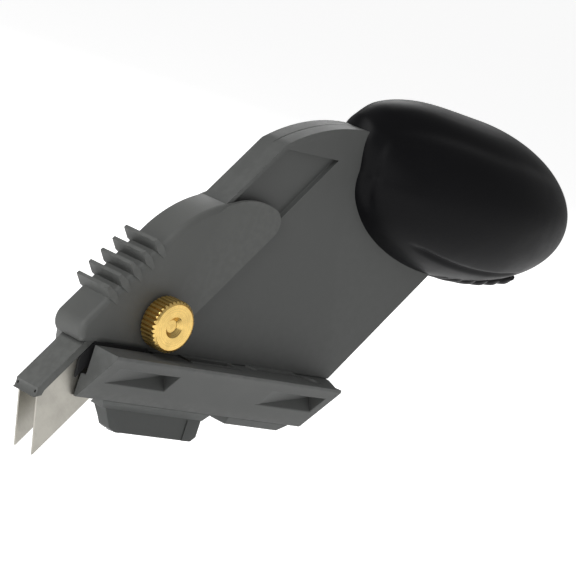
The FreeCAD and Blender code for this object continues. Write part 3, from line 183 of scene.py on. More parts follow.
def make_grain_group() -> bpy.types.NodeTree:
    """The fine spark-eroded grain and the slow colour drift of a moulding.

    Returns:
        The node group.
    """
    number = "NodeSocketFloat"
    inputs = {"Vector": "NodeSocketVector", "Grain Scale": number, "Drift Scale": number}
    outputs = {"Height": number, "Drift": number}
    wiring, entry, leave = open_group("Mould Grain", inputs, outputs)
    fine = wiring.add("ShaderNodeTexNoise")
    fine.inputs["Detail"].default_value = 3.0
    slow = wiring.add("ShaderNodeTexNoise")
    slow.inputs["Detail"].default_value = 5.0
    slow.inputs["Roughness"].default_value = 0.6
    for texture, scale in ((fine, "Grain Scale"), (slow, "Drift Scale")):
        wiring.join(entry.outputs["Vector"], texture.inputs["Vector"])
        wiring.join(entry.outputs[scale], texture.inputs["Scale"])
    wiring.join(fine.outputs["Fac"], leave.inputs["Height"])
    wiring.join(wiring.remap(slow.outputs["Fac"], (0.3, 0.7), (0.0, 1.0)), leave.inputs["Drift"])
    return wiring.tree


def make_wear_group() -> bpy.types.NodeTree:
    """Edges rubbed by use, broken up by a coarse noise.

    Returns:
        The node group.
    """
    inputs = {"Vector": "NodeSocketVector", "Amount": "NodeSocketFloat"}
    wiring, entry, leave = open_group("Edge Wear", inputs, {"Mask": "NodeSocketFloat"})
    sharpness = wiring.add("ShaderNodeNewGeometry")
    edge = wiring.remap(sharpness.outputs["Pointiness"], (0.52, 0.62), (0.0, 1.0))
    patches = wiring.add("ShaderNodeTexNoise")
    patches.inputs["Scale"].default_value = 420.0
    patches.inputs["Detail"].default_value = 4.0
    wiring.join(entry.outputs["Vector"], patches.inputs["Vector"])
    broken = wiring.maths("MULTIPLY", edge, wiring.remap(patches.outputs["Fac"], (0.35, 0.65), (0.3, 1.0)))
    wiring.join(wiring.maths("MULTIPLY", broken, entry.outputs["Amount"]), leave.inputs["Mask"])
    return wiring.tree


def make_cut_lines_group() -> bpy.types.NodeTree:
    """Fine lines left by a tool or a grinding wheel.

    Returns:
        The node group.
    """
    wiring, entry, leave = open_group(
        "Cut Lines", {"Vector": "NodeSocketVector", "Pitch Scale": "NodeSocketFloat"},
        {"Height": "NodeSocketFloat", "Streak": "NodeSocketFloat"})
    lines = wiring.add("ShaderNodeTexNoise", noise_dimensions="1D")
    lines.inputs["Detail"].default_value = 5.0
    split = wiring.add("ShaderNodeSeparateXYZ")
    wiring.join(entry.outputs["Vector"], split.inputs["Vector"])
    wiring.join(split.outputs["X"], lines.inputs["W"])
    wiring.join(entry.outputs["Pitch Scale"], lines.inputs["Scale"])
    wiring.join(lines.outputs["Fac"], leave.inputs["Height"])
    wiring.join(wiring.remap(lines.outputs["Fac"], (0.35, 0.65), (0.0, 1.0)), leave.inputs["Streak"])
    return wiring.tree


GRAIN = make_grain_group()
WEAR = make_wear_group()
CUT_LINES = make_cut_lines_group()


@dataclass
class Dressing:
    """A new Principled material and the wiring round it."""

    name: str

    def __post_init__(self) -> None:
        """Make the material with its shader and object coordinates."""
        self.material = bpy.data.materials.new(self.name)
        self.material.use_nodes = True
        self.wiring = Wiring(self.material.node_tree)
        self.shader = self.material.node_tree.nodes["Principled BSDF"]
        self.place = self.wiring.add("ShaderNodeTexCoord").outputs["Object"]

    def effect(
        self, tree: bpy.types.NodeTree, vector: bpy.types.NodeSocket, **values: float,
    ) -> bpy.types.Node:
        """Place a node group.

        Args:
            tree: the group.
            vector: its coordinates.
            values: its inputs, with underscores for spaces.

        Returns:
            The group node.
        """
        node = self.wiring.add("ShaderNodeGroup", node_tree=tree)
        self.wiring.join(vector, node.inputs["Vector"])
        for name, value in values.items():
            node.inputs[name.replace("_", " ")].default_value = value
        return node

    def blend(self, mask: bpy.types.NodeSocket, first: object, second: object) -> bpy.types.NodeSocket:
        """Mix two colours by a mask.

        Args:
            mask: 0 for the first, 1 for the second.
            first: a colour or a socket.
            second: a colour or a socket.

        Returns:
            The mixed colour.
        """
        node = self.wiring.add("ShaderNodeMix", data_type="RGBA")
        self.wiring.join(mask, node.inputs["Factor"])
        colour_inputs = [s for s in node.inputs if s.type == "RGBA"]
        for socket, value in zip(colour_inputs, (first, second)):
            if isinstance(value, bpy.types.NodeSocket):
                self.wiring.join(value, socket)
            else:
                socket.default_value = value
        return next(s for s in node.outputs if s.type == "RGBA")

    def drift(self, mask: bpy.types.NodeSocket, tone: Colour, shades: Span) -> bpy.types.NodeSocket:
        """Let a tone drift between two shades of itself.

        Args:
            mask: 0 for the first shade, 1 for the second.
            tone: the tone.
            shades: how much lighter or darker the two shades are.

        Returns:
            The mixed colour.
        """
        return self.blend(mask, shade(tone, shades[0]), shade(tone, shades[1]))

    def relief(self, height: bpy.types.NodeSocket, depth: float, strength: float) -> None:
        """Bump the surface.

        Args:
            height: the height from 0 to 1.
            depth: its depth in metres.
            strength: how much of it shows.
        """
        bump = self.wiring.add("ShaderNodeBump")
        bump.inputs["Distance"].default_value = depth
        bump.inputs["Strength"].default_value = strength
        self.wiring.join(height, bump.inputs["Height"])
        self.wiring.join(bump.outputs["Normal"], self.shader.inputs["Normal"])


def shade(tone: Colour, factor: float) -> Colour:
    """A colour made lighter or darker."""
    return (tone[0] * factor, tone[1] * factor, tone[2] * factor, 1.0)


def span_about(middle: float, reach: Span) -> Span:
    """The span that reaches from below to above a value."""
    return (middle + reach[0], middle + reach[1])


# ---------------------------------------------------------------- finishes

@dataclass(frozen=True)
class Moulding:
    """Moulded plastic or rubber with a fine grain and rubbed edges."""

    name: str
    tone: Colour
    roughness: float
    grain_scale: float
    grain_depth: float
    wear: float
    sheen: float = 0.0
    drift_scale: float = 45.0
    specular: float = 0.32
    drift_shades: Span = (0.93, 1.07)
    worn_shade: float = 1.7
    gloss_reach: Span = (-0.04, 0.05)
    bump: float = 0.55

    def make(self) -> bpy.types.Material:
        """Build the material.

        Returns:
            The material.
        """
        dressing = Dressing(self.name)
        scales = {"Grain_Scale": self.grain_scale, "Drift_Scale": self.drift_scale}
        grain = dressing.effect(GRAIN, dressing.place, **scales)
        worn = dressing.effect(WEAR, dressing.place, Amount=self.wear)
        drifted = dressing.drift(grain.outputs["Drift"], self.tone, self.drift_shades)
        colour = dressing.blend(worn.outputs["Mask"], drifted, shade(self.tone, self.worn_shade))
        dressing.wiring.join(colour, dressing.shader.inputs["Base Color"])
        span = span_about(self.roughness, self.gloss_reach)
        rough = dressing.wiring.remap(grain.outputs["Drift"], (0.0, 1.0), span)
        dressing.wiring.join(rough, dressing.shader.inputs["Roughness"])
        dressing.shader.inputs["Sheen Weight"].default_value = self.sheen
        dressing.shader.inputs["Specular IOR Level"].default_value = self.specular
        dressing.relief(grain.outputs["Height"], self.grain_depth, self.bump)
        return dressing.material


@dataclass(frozen=True)
class TurnedMetal:
    """Metal turned in a lathe, with rings round an axis along Y."""

    name: str
    tone: Colour
    roughness: float
    centre: tuple[float, float, float]
    ring_scale: float = 2600.0
    ring_depth: float = 0.00004
    ring_bump: float = 0.5
    gloss_reach: Span = (-0.05, 0.07)
    tarnish_scales: Span = (900.0, 220.0)
    tarnish_shades: Span = (0.84, 1.08)

    def make(self) -> bpy.types.Material:
        """Build the material.

        Returns:
            The material.
        """
        dressing = Dressing(self.name)
        wiring = dressing.wiring
        centred = wiring.add("ShaderNodeVectorMath", operation="SUBTRACT")
        wiring.join(dressing.place, centred.inputs[0])
        centred.inputs[1].default_value = self.centre
        flat = wiring.add("ShaderNodeVectorMath", operation="MULTIPLY")
        wiring.join(centred.outputs[0], flat.inputs[0])
        flat.inputs[1].default_value = (1.0, 0.0, 1.0)
        radius = wiring.add("ShaderNodeVectorMath", operation="LENGTH")
        wiring.join(flat.outputs[0], radius.inputs[0])
        rings_at = wiring.add("ShaderNodeCombineXYZ")
        wiring.join(radius.outputs["Value"], rings_at.inputs["X"])
        rings = dressing.effect(CUT_LINES, rings_at.outputs[0], Pitch_Scale=self.ring_scale)
        fine, slow = self.tarnish_scales
        tarnish = dressing.effect(GRAIN, dressing.place, Grain_Scale=fine, Drift_Scale=slow)
        toned = dressing.drift(tarnish.outputs["Drift"], self.tone, self.tarnish_shades)
        wiring.join(toned, dressing.shader.inputs["Base Color"])
        dressing.shader.inputs["Metallic"].default_value = 1.0
        span = span_about(self.roughness, self.gloss_reach)
        rough = wiring.remap(rings.outputs["Streak"], (0.0, 1.0), span)
        wiring.join(rough, dressing.shader.inputs["Roughness"])
        dressing.relief(rings.outputs["Height"], self.ring_depth, self.ring_bump)
        return dressing.material


@dataclass(frozen=True)
class GroundBlade:
    """Hardened steel with grinding lines across the edge; the polished bevel's white is a painted highlight.
    """

    name: str
    tone: Colour
    bevel_highlight_tone: Colour
    along: tuple[float, float, float]
    ahead: tuple[float, float, float]
    bevel_end: float
    roughness: float = 0.36
    line_scale: float = 5200.0
    line_depth: float = 0.00002
    line_bump: float = 0.45
    gloss_reach: Span = (-0.04, 0.08)
    stain_scales: Span = (1500.0, 130.0)
    stain_shades: Span = (0.88, 1.06)
    blur: float = 0.00008
    polish: float = 0.12

    def make(self) -> bpy.types.Material:
        """Build the material.

        Returns:
            The material.
        """
        dressing = Dressing(self.name)
        wiring = dressing.wiring
        sockets = []
        for direction in (self.along, self.ahead):
            dot = wiring.add("ShaderNodeVectorMath", operation="DOT_PRODUCT")
            wiring.join(dressing.place, dot.inputs[0])
            dot.inputs[1].default_value = direction
            sockets.append(dot.outputs["Value"])
        along, ahead = sockets
        at = wiring.add("ShaderNodeCombineXYZ")
        wiring.join(along, at.inputs["X"])
        lines = dressing.effect(CUT_LINES, at.outputs[0], Pitch_Scale=self.line_scale)
        fine, slow = self.stain_scales
        stains = dressing.effect(GRAIN, dressing.place, Grain_Scale=fine, Drift_Scale=slow)
        face = dressing.drift(stains.outputs["Drift"], self.tone, self.stain_shades)
        # The bevel's near-white colour is a painted highlight; its lowered roughness is real polish.
        bevel_highlight_and_polish = wiring.remap(ahead, span_about(self.bevel_end, (-self.blur, self.blur)), (1.0, 0.0))
        wiring.join(dressing.blend(bevel_highlight_and_polish, face, self.bevel_highlight_tone), dressing.shader.inputs["Base Color"])
        dressing.shader.inputs["Metallic"].default_value = 1.0
        polish = wiring.maths("MULTIPLY", bevel_highlight_and_polish, -self.polish)
        span = span_about(self.roughness, self.gloss_reach)
        rough = wiring.remap(lines.outputs["Streak"], (0.0, 1.0), span)
        wiring.join(wiring.maths("ADD", rough, polish), dressing.shader.inputs["Roughness"])
        dressing.relief(lines.outputs["Height"], self.line_depth, self.line_bump)
        return dressing.material


# ---------------------------------------------------------------- meshes

def hang_up(
    name: str, shape: bmesh.types.BMesh, material: bpy.types.Material, smooth_angle: float,
) -> bpy.types.Object:
    """Make an object of a finished shape.

    Args:
        name: the object's name.
        shape: the shape, freed here.
        material: its material.
        smooth_angle: faces that meet at less than this, in degrees, are shaded smoothly.

    Returns:
        The object, at the origin.
    """
    limit = math.radians(smooth_angle)
    for face in shape.faces:
        face.smooth = True
    for edge in shape.edges:
        edge.smooth = len(edge.link_faces) == 2 and edge.calc_face_angle(0.0) < limit
    mesh = bpy.data.meshes.new(name)
    shape.to_mesh(mesh)
    shape.free()
    mesh.materials.append(material)
    piece = bpy.data.objects.new(name, mesh)
    bpy.context.scene.collection.objects.link(piece)
    return piece


def adopt(piece: bpy.types.Object, rider: Rider, slot: Slot, *nodes: str) -> bpy.types.Object:
    """Put a finished piece on its body in place of its CAD nodes.

    Args:
        piece: the piece.
        rider: the body it moves with.
        slot: the material slot of its finish; not used.
        nodes: the CAD nodes that it stands for.

    Returns:
        The piece.
    """
    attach(piece, rider.value)
    if nodes:
        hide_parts(*nodes)
    log.info("%s rides on %s, %d faces", piece.name, rider.value, len(piece.data.polygons))
    return piece


@dataclass(frozen=True)
class EasingRules:
    """What the easing of edges goes by.

    Lengths are in metres and angles in degrees. room, off_surface, off_edge and clearance are shares
    of the width of the easing.
    """

    weld: float = 0.000004
    flat_turn: float = 0.6
    carry_on_turn: float = 40.0
    shading_turn: float = 40.0
    room: float = 2.1
    off_surface: float = 0.4
    off_edge: float = 1.6
    clearance: float = 2.5
    tries: int = 8


EASING = EasingRules()


def tree_of(places: list[Vector]) -> KDTree:
    """A search tree of places."""
    tree = KDTree(len(places))
    for number, place in enumerate(places):
        tree.insert(place, number)
    tree.balance()
    return tree


def has_room(edge: bmesh.types.BMEdge, sharp_edges: set[bmesh.types.BMEdge], radius: float) -> bool:
    """Whether an edge can be eased without running into its neighbours.

    Args:
        edge: the edge.
        sharp_edges: every edge that could be eased.
        radius: the width of the easing.

    Returns:
        True where there is room.
    """
    needed = EASING.room * radius
    for vertex in edge.verts:
        away = edge.other_vert(vertex).co - vertex.co
        corner = False
        for other in vertex.link_edges:
            if other is edge:
                continue
            turn = away.angle(vertex.co - other.other_vert(vertex).co, 0.0)
            if other in sharp_edges and turn < math.radians(EASING.carry_on_turn):
                continue
            corner = corner or other in sharp_edges
            if other.calc_length() < needed:
                return False
        if corner and edge.calc_length() < needed:
            return False
    return True


def stray_points(eased: bmesh.types.BMesh, shape: bmesh.types.BMesh, radius: float) -> list[Vector]:
    """Corners of an eased shape that left the surface it was made from, or slid along it.

    Args:
        eased: the eased shape.
        shape: the shape before easing.
        radius: the width of the easing.

    Returns:
        The places of those corners.
    """
    surface = BVHTree.FromBMesh(shape)
    marks = []
    for edge in shape.edges:
        steps = max(1, math.ceil(edge.calc_length() / radius))
        marks += [edge.verts[0].co.lerp(edge.verts[1].co, k / steps) for k in range(steps + 1)]
    edge_line = tree_of(marks)
    off_surface = EASING.off_surface * radius
    off_edge = EASING.off_edge * radius
    return [
        vertex.co.copy() for vertex in eased.verts
        if surface.find_nearest(vertex.co)[3] > off_surface or edge_line.find(vertex.co)[2] > off_edge]


def is_clear(edge: bmesh.types.BMEdge, strays: KDTree, room: float) -> bool:
    """Whether an edge's ends and middle are all further than a length from every stray corner.

    Args:
        edge: the edge.
        strays: the places of the stray corners.
        room: the length.

    Returns:
        True where they are.
    """
    ends = [vertex.co for vertex in edge.verts]
    return min(strays.find(place)[2] for place in (*ends, (ends[0] + ends[1]) / 2)) > room


def ease_edges(shape: bmesh.types.BMesh, chosen: list[int], radius: float) -> tuple[bmesh.types.BMesh, int]:
    """Ease the chosen edges, apart from those beside a corner that the easing would send astray.

    Where strays are left after the last try, no edge is eased at all: the whole shape stays sharp.

    Args:
        shape: the shape, freed here.
        chosen: numbers of the edges to ease.
        radius: the width of the easing.

    Returns:
        The eased shape and the number of edges eased.
    """
    for _ in range(EASING.tries):
        eased = shape.copy()
        eased.edges.ensure_lookup_table()
        geometry = [eased.edges[number] for number in chosen]
        bmesh.ops.bevel(
            eased, geom=geometry, offset=radius, segments=2, profile=0.5, affect="EDGES",
            clamp_overlap=False)
        strays = stray_points(eased, shape, radius)
        if not strays:
            break
        eased.free()
        tree = tree_of(strays)
        room = EASING.clearance * radius
        chosen = [number for number in chosen if is_clear(shape.edges[number], tree, room)]
    else:
        eased = shape.copy()
        chosen = []
    shape.free()
    return eased, len(chosen)


def keep_result(piece: bpy.types.Object) -> None:
    """Turn what a piece's modifiers make into its plain mesh, and remove them."""
    graph = bpy.context.evaluated_depsgraph_get()
    made = bpy.data.meshes.new_from_object(piece.evaluated_get(graph))
    piece.modifiers.clear()
    piece.data = made


def weigh_normals(piece: bpy.types.Object) -> None:
    """Shade a piece's flat faces flat, with the bend kept to its eased edges.

    Args:
        piece: the piece, whose mesh is replaced.
    """
    modifier = piece.modifiers.new("weigh", "WEIGHTED_NORMAL")
    modifier.keep_sharp = True
    modifier.weight = 90
    keep_result(piece)


def eased_copy(
    node: str, radius: float, material: bpy.types.Material, sharp: float = 32.0,
) -> bpy.types.Object:
    """A copy of a CAD node with its moulded edges eased, as far as ease_edges allows.

    Args:
        node: the CAD node.
        radius: the width of the eased edges, in metres.
        material: the copy's material.
        sharp: edges that turn by more than this, in degrees, are eased.

    Returns:
        The copy.
    """
    shape = bmesh.new()
    shape.from_mesh(frame["nodes"][node].data)
    bmesh.ops.remove_doubles(shape, verts=shape.verts, dist=EASING.weld)
    flat = math.radians(EASING.flat_turn)
    bmesh.ops.dissolve_limit(shape, angle_limit=flat, verts=shape.verts, edges=shape.edges)
    bmesh.ops.recalc_face_normals(shape, faces=shape.faces)
    limit = math.radians(sharp)
    edges = {e for e in shape.edges if len(e.link_faces) == 2 and e.calc_face_angle(0.0) > limit}
    shape.edges.index_update()
    shape.edges.ensure_lookup_table()
    chosen = [e.index for e in shape.edges if e in edges and has_room(e, edges, radius)]
    total = len(edges)
    shape, count = ease_edges(shape, chosen, radius)
    log.info("%s: %d of %d edges eased", node, count, total)
    piece = hang_up(node + "_eased", shape, material, EASING.shading_turn)
    weigh_normals(piece)
    return piece


def dress(node: str, material: bpy.types.Material) -> None:
    """Give a CAD node that stays its finish.

    Args:
        node: the node.
        material: its finish.
    """
    data = frame["nodes"][node].data
    data.materials.clear()
    data.materials.append(material)


def pass_through(piece: bpy.types.Object, tree: bpy.types.NodeTree, values: dict[str, object]) -> None:
    """Run a mesh through a Geometry Nodes tree and keep the result as a plain mesh.

    Args:
        piece: the object whose mesh goes in.
        tree: the tree.
        values: its named inputs.
    """
    modifier = piece.modifiers.new("repeat", "NODES")
    modifier.node_group = tree
    for item in tree.interface.items_tree:
        if item.item_type == "SOCKET" and item.in_out == "INPUT" and item.name in values:
            modifier[item.identifier] = values[item.name]
    keep_result(piece)


def make_repeat_tree(name: str, spin: bool) -> bpy.types.NodeTree:
    """A Geometry Nodes tree that repeats a mesh round an axis along Y, or in a row.

    Args:
        name: the tree's name.
        spin: True for round an axis, False for a row.

    Returns:
        The tree.
    """
    tree = bpy.data.node_groups.new(name, "GeometryNodeTree")
    sockets = [("Geometry", "NodeSocketGeometry"), ("Count", "NodeSocketInt"), ("Start", "NodeSocketVector"),
               ("Step", "NodeSocketVector"), ("Sag", "NodeSocketFloat"), ("Material", "NodeSocketMaterial")]
    for label, kind in sockets:
        tree.interface.new_socket(name=label, in_out="INPUT", socket_type=kind)
    tree.interface.new_socket(name="Geometry", in_out="OUTPUT", socket_type="NodeSocketGeometry")
    wiring = Wiring(tree)
    entry = wiring.add("NodeGroupInput")
    leave = wiring.add("NodeGroupOutput")
    points = wiring.add("GeometryNodePoints")
    wiring.join(entry.outputs["Count"], points.inputs["Count"])
    index = wiring.add("GeometryNodeInputIndex").outputs[0]
    placed = wiring.add("ShaderNodeVectorMath", operation="MULTIPLY_ADD")
    wiring.join(entry.outputs["Step"], placed.inputs[0])
    spread = wiring.add("ShaderNodeCombineXYZ")
    for axis in ("X", "Y", "Z"):
        wiring.join(index, spread.inputs[axis])
    wiring.join(spread.outputs[0], placed.inputs[1])
    wiring.join(entry.outputs["Start"], placed.inputs[2])
    middle = wiring.maths("MULTIPLY", wiring.maths("SUBTRACT", entry.outputs["Count"], 1.0), 0.5)
    off = wiring.maths("DIVIDE", wiring.maths("SUBTRACT", index, middle), middle)
    sag = wiring.maths("MULTIPLY", wiring.maths("MULTIPLY", off, off), entry.outputs["Sag"])
    lift = wiring.add("ShaderNodeCombineXYZ")
    wiring.join(sag, lift.inputs["Z"])
    at = wiring.add("ShaderNodeVectorMath", operation="ADD")
    wiring.join(placed.outputs[0], at.inputs[0])
    wiring.join(lift.outputs[0], at.inputs[1])
    wiring.join(at.outputs[0], points.inputs["Position"])
    copies = wiring.add("GeometryNodeInstanceOnPoints")
    wiring.join(points.outputs[0], copies.inputs["Points"])
    wiring.join(entry.outputs["Geometry"], copies.inputs["Instance"])
    if spin:
        turn = wiring.maths("DIVIDE", wiring.maths("MULTIPLY", index, math.tau), entry.outputs["Count"])
        angles = wiring.add("ShaderNodeCombineXYZ")
        wiring.join(turn, angles.inputs["Y"])
        rotation = wiring.add("FunctionNodeEulerToRotation")
        wiring.join(angles.outputs[0], rotation.inputs[0])
        wiring.join(rotation.outputs[0], copies.inputs["Rotation"])
    real = wiring.add("GeometryNodeRealizeInstances")
    wiring.join(copies.outputs[0], real.inputs[0])
    coloured = wiring.add("GeometryNodeSetMaterial")
    wiring.join(real.outputs[0], coloured.inputs["Geometry"])
    wiring.join(entry.outputs["Material"], coloured.inputs["Material"])
    wiring.join(coloured.outputs[0], leave.inputs[0])
    return tree


ROUND_AN_AXIS = make_repeat_tree("Repeat Round Axis", True)
IN_A_ROW = make_repeat_tree("Repeat In Row", False)


def bell(value: float, width: float) -> float:
    """A smooth bump of height 1 at 0."""
    return math.exp(-(value / width) ** 2)


def ramp(value: float, low: float, high: float) -> float:
    """A smooth step from 0 at low to 1 at high."""
    share = min(1.0, max(0.0, (value - low) / (high - low)))
    return share * share * (3.0 - 2.0 * share)


# ---------------------------------------------------------------- the sub-assemblies

@dataclass
class SlantedBar:
    """The two moulded halves of the bar and what holds them together."""

    ease: float = 0.00035
    plastic: Moulding = Moulding("Grey ABS", (0.064, 0.066, 0.064, 1.0), 0.58, 2600.0, 0.00006, 0.25)
    steel: Moulding = Moulding("Plated Steel", (0.32, 0.32, 0.33, 1.0), 0.38, 1500.0, 0.00002, 0.3)

    def build(self) -> None:
        """Make and dress the pieces."""
        plastic = self.plastic.make()
        for side in ("left", "right"):
            node = "body_%s_shell" % side
            adopt(eased_copy(node, self.ease, plastic), Rider.TOOL, Slot.BODY, node)
        steel = self.steel.make()
        for group in ("shell", "shoe", "foot", "strip", "core"):
            dress(group + "_screws", steel)
        dress("shell_dowels", steel)


@dataclass
class Shoe:
    """The V-shaped shoe with its guide foot and rear strip."""

    ease: float = 0.0004
    plastic: Moulding = Moulding("Grey Nylon", (0.062, 0.064, 0.062, 1.0), 0.56, 2300.0, 0.00006, 0.35)
    dark: Moulding = Moulding("Dark Acetal", (0.05, 0.053, 0.051, 1.0), 0.5, 2000.0, 0.00004, 0.3)

    def build(self) -> None:
        """Make and dress the pieces."""
        adopt(eased_copy("shoe", self.ease, self.plastic.make()), Rider.TOOL, Slot.SHOE, "shoe")
        dark = self.dark.make()
        for node in ("guide_foot", "sole_strip"):
            adopt(eased_copy(node, self.ease, dark), Rider.TOOL, Slot.FOOT, node)


@dataclass
class Carriage:
    """The sliding saddle, the blade holder and the two blades.

    The saddle's edges stay sharp: ease_edges finds no set of them that it can ease.
    """

    ease: float = 0.0003
    bevel_end: float = 33.1 * MM
    setback: float = 13.2 * MM
    blade_tone: Colour = (0.4, 0.385, 0.345, 1.0)
    # Near white: a painted highlight on the blades' polished bevel.
    bevel_highlight_tone: Colour = (0.97, 0.97, 0.96, 1.0)
    plastic: Moulding = Moulding("Slide Nylon", (0.072, 0.074, 0.071, 1.0), 0.56, 2400.0, 0.00006, 0.35)
    black_oxide: Moulding = Moulding(
        "Black Oxide Steel", (0.014, 0.014, 0.015, 1.0), 0.5, 1500.0, 0.00002, 0.15)

    def build(self) -> None:
        """Make and dress the pieces."""
        plastic = self.plastic.make()
        for node in ("thumb_slide", "blade_holder"):
            adopt(eased_copy(node, self.ease, plastic), Rider.CARRIAGE, Slot.SLIDE, node)
        dress("stud_bush", plastic)
        track = next(j for j in frame["joints"] if j["name"] == "blade_depth")["axis"]
        ahead = (-track[2], 0.0, track[0])
        blade = GroundBlade(
            "Blade Steel", self.blade_tone, self.bevel_highlight_tone, tuple(track), ahead,
            self.bevel_end + self.setback * track[2])
        steel = blade.make()
        oxide = self.black_oxide.make()
        for side in ("left", "right"):
            dress("blade_" + side, steel)
            dress("keeper_" + side, oxide)
        for node in ("nut_washer", "stud_washer"):
            dress(node, oxide)


@dataclass
class ClampNut:
    """The knurled brass nut and its stud."""

    teeth: int = 34
    segments: int = 136
    knurl: float = 0.7 * MM
    chamfer: float = 0.8 * MM
    bore: float = 2.05 * MM
    countersink: float = 1.3 * MM
    foot_sink: float = 1.4
    shoulder_sink: float = 0.35
    half_widths: tuple[float, float, float] = (0.5, 0.28, 0.12)
    shoulder_inset: float = 0.55
    tone: Colour = (0.72, 0.5, 0.17, 1.0)

    def build(self) -> None:
        """Make and dress the pieces."""
        low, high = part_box("thumb_nut")
        centre = (low + high) / 2
        radius = (high.z - low.z) / 2
        brass = TurnedMetal("Turned Brass", self.tone, 0.26, tuple(centre)).make()
        dress("clamp_stud", brass)
        body = self.turned_body(centre, radius - self.knurl, low.y, high.y)
        adopt(hang_up("nut_turned_body", body, brass, 30.0), Rider.NUT, Slot.BRASS, "thumb_nut")
        knurl = hang_up("nut_knurl", self.tooth(radius, low.y, high.y), brass, 20.0)
        values = {"Count": self.teeth, "Start": (centre.x, 0.0, centre.z), "Step": (0.0, 0.0, 0.0),
                  "Sag": 0.0, "Material": brass}
        pass_through(knurl, ROUND_AN_AXIS, values)
        adopt(knurl, Rider.NUT, Slot.BRASS)

    def turned_body(self, centre: Vector, radius: float, outer: float, inner: float) -> bmesh.types.BMesh:
        """The nut without its teeth.

        Args:
            centre: the nut's centre.
            radius: the radius between the teeth.
            outer: Y of the outer face.
            inner: Y of the inner face.

        Returns:
            The shape.
        """
        rim = self.chamfer * 0.5
        profile = [(self.bore, inner), (radius - rim, inner), (radius, inner - rim), (radius, outer + rim),
                   (radius - rim, outer), (self.bore + self.countersink, outer),
                   (self.bore, outer + self.countersink)]
        shape = bmesh.new()
        rings = []
        for step in range(self.segments):
            angle = math.tau * step / self.segments
            ring = [shape.verts.new((centre.x + r * math.cos(angle), y, centre.z + r * math.sin(angle)))
                    for r, y in profile]
            rings.append(ring)
        count = len(profile)
        for step, ring in enumerate(rings):
            following = rings[(step + 1) % self.segments]
            for i in range(count):
                j = (i + 1) % count
                shape.faces.new((ring[i], ring[j], following[j], following[i]))
        bmesh.ops.recalc_face_normals(shape, faces=shape.faces)
        return shape

    def tooth(self, radius: float, outer: float, inner: float) -> bmesh.types.BMesh:
        """One knurl tooth, standing up from an axis along Y through the origin.

        Args:
            radius: the radius of its tip.
            outer: Y of the nut's outer face.
            inner: Y of its inner face.

        Returns:
            The shape.
        """
        pitch = math.tau * radius / self.teeth
        at_foot, at_shoulder, at_tip = (pitch * share for share in self.half_widths)
        sections = (
            (radius - self.knurl * self.foot_sink, at_foot, 0.0),
            (radius - self.knurl * self.shoulder_sink, at_shoulder, self.chamfer * self.shoulder_inset),
            (radius, at_tip, self.chamfer),
        )
        shape = bmesh.new()
        loops = []
        for height, half, inset in sections:
            near, far = outer + inset, inner - inset
            corners = ((-half, near), (half, near), (half, far), (-half, far))
            loops.append([shape.verts.new((x, y, height)) for x, y in corners])
        for lower, upper in zip(loops, loops[1:]):
            for i in range(4):
                j = (i + 1) % 4
                shape.faces.new((lower[i], lower[j], upper[j], upper[i]))
        shape.faces.new(loops[0])
        shape.faces.new(loops[-1])
        bmesh.ops.recalc_face_normals(shape, faces=shape.faces)
        return shape


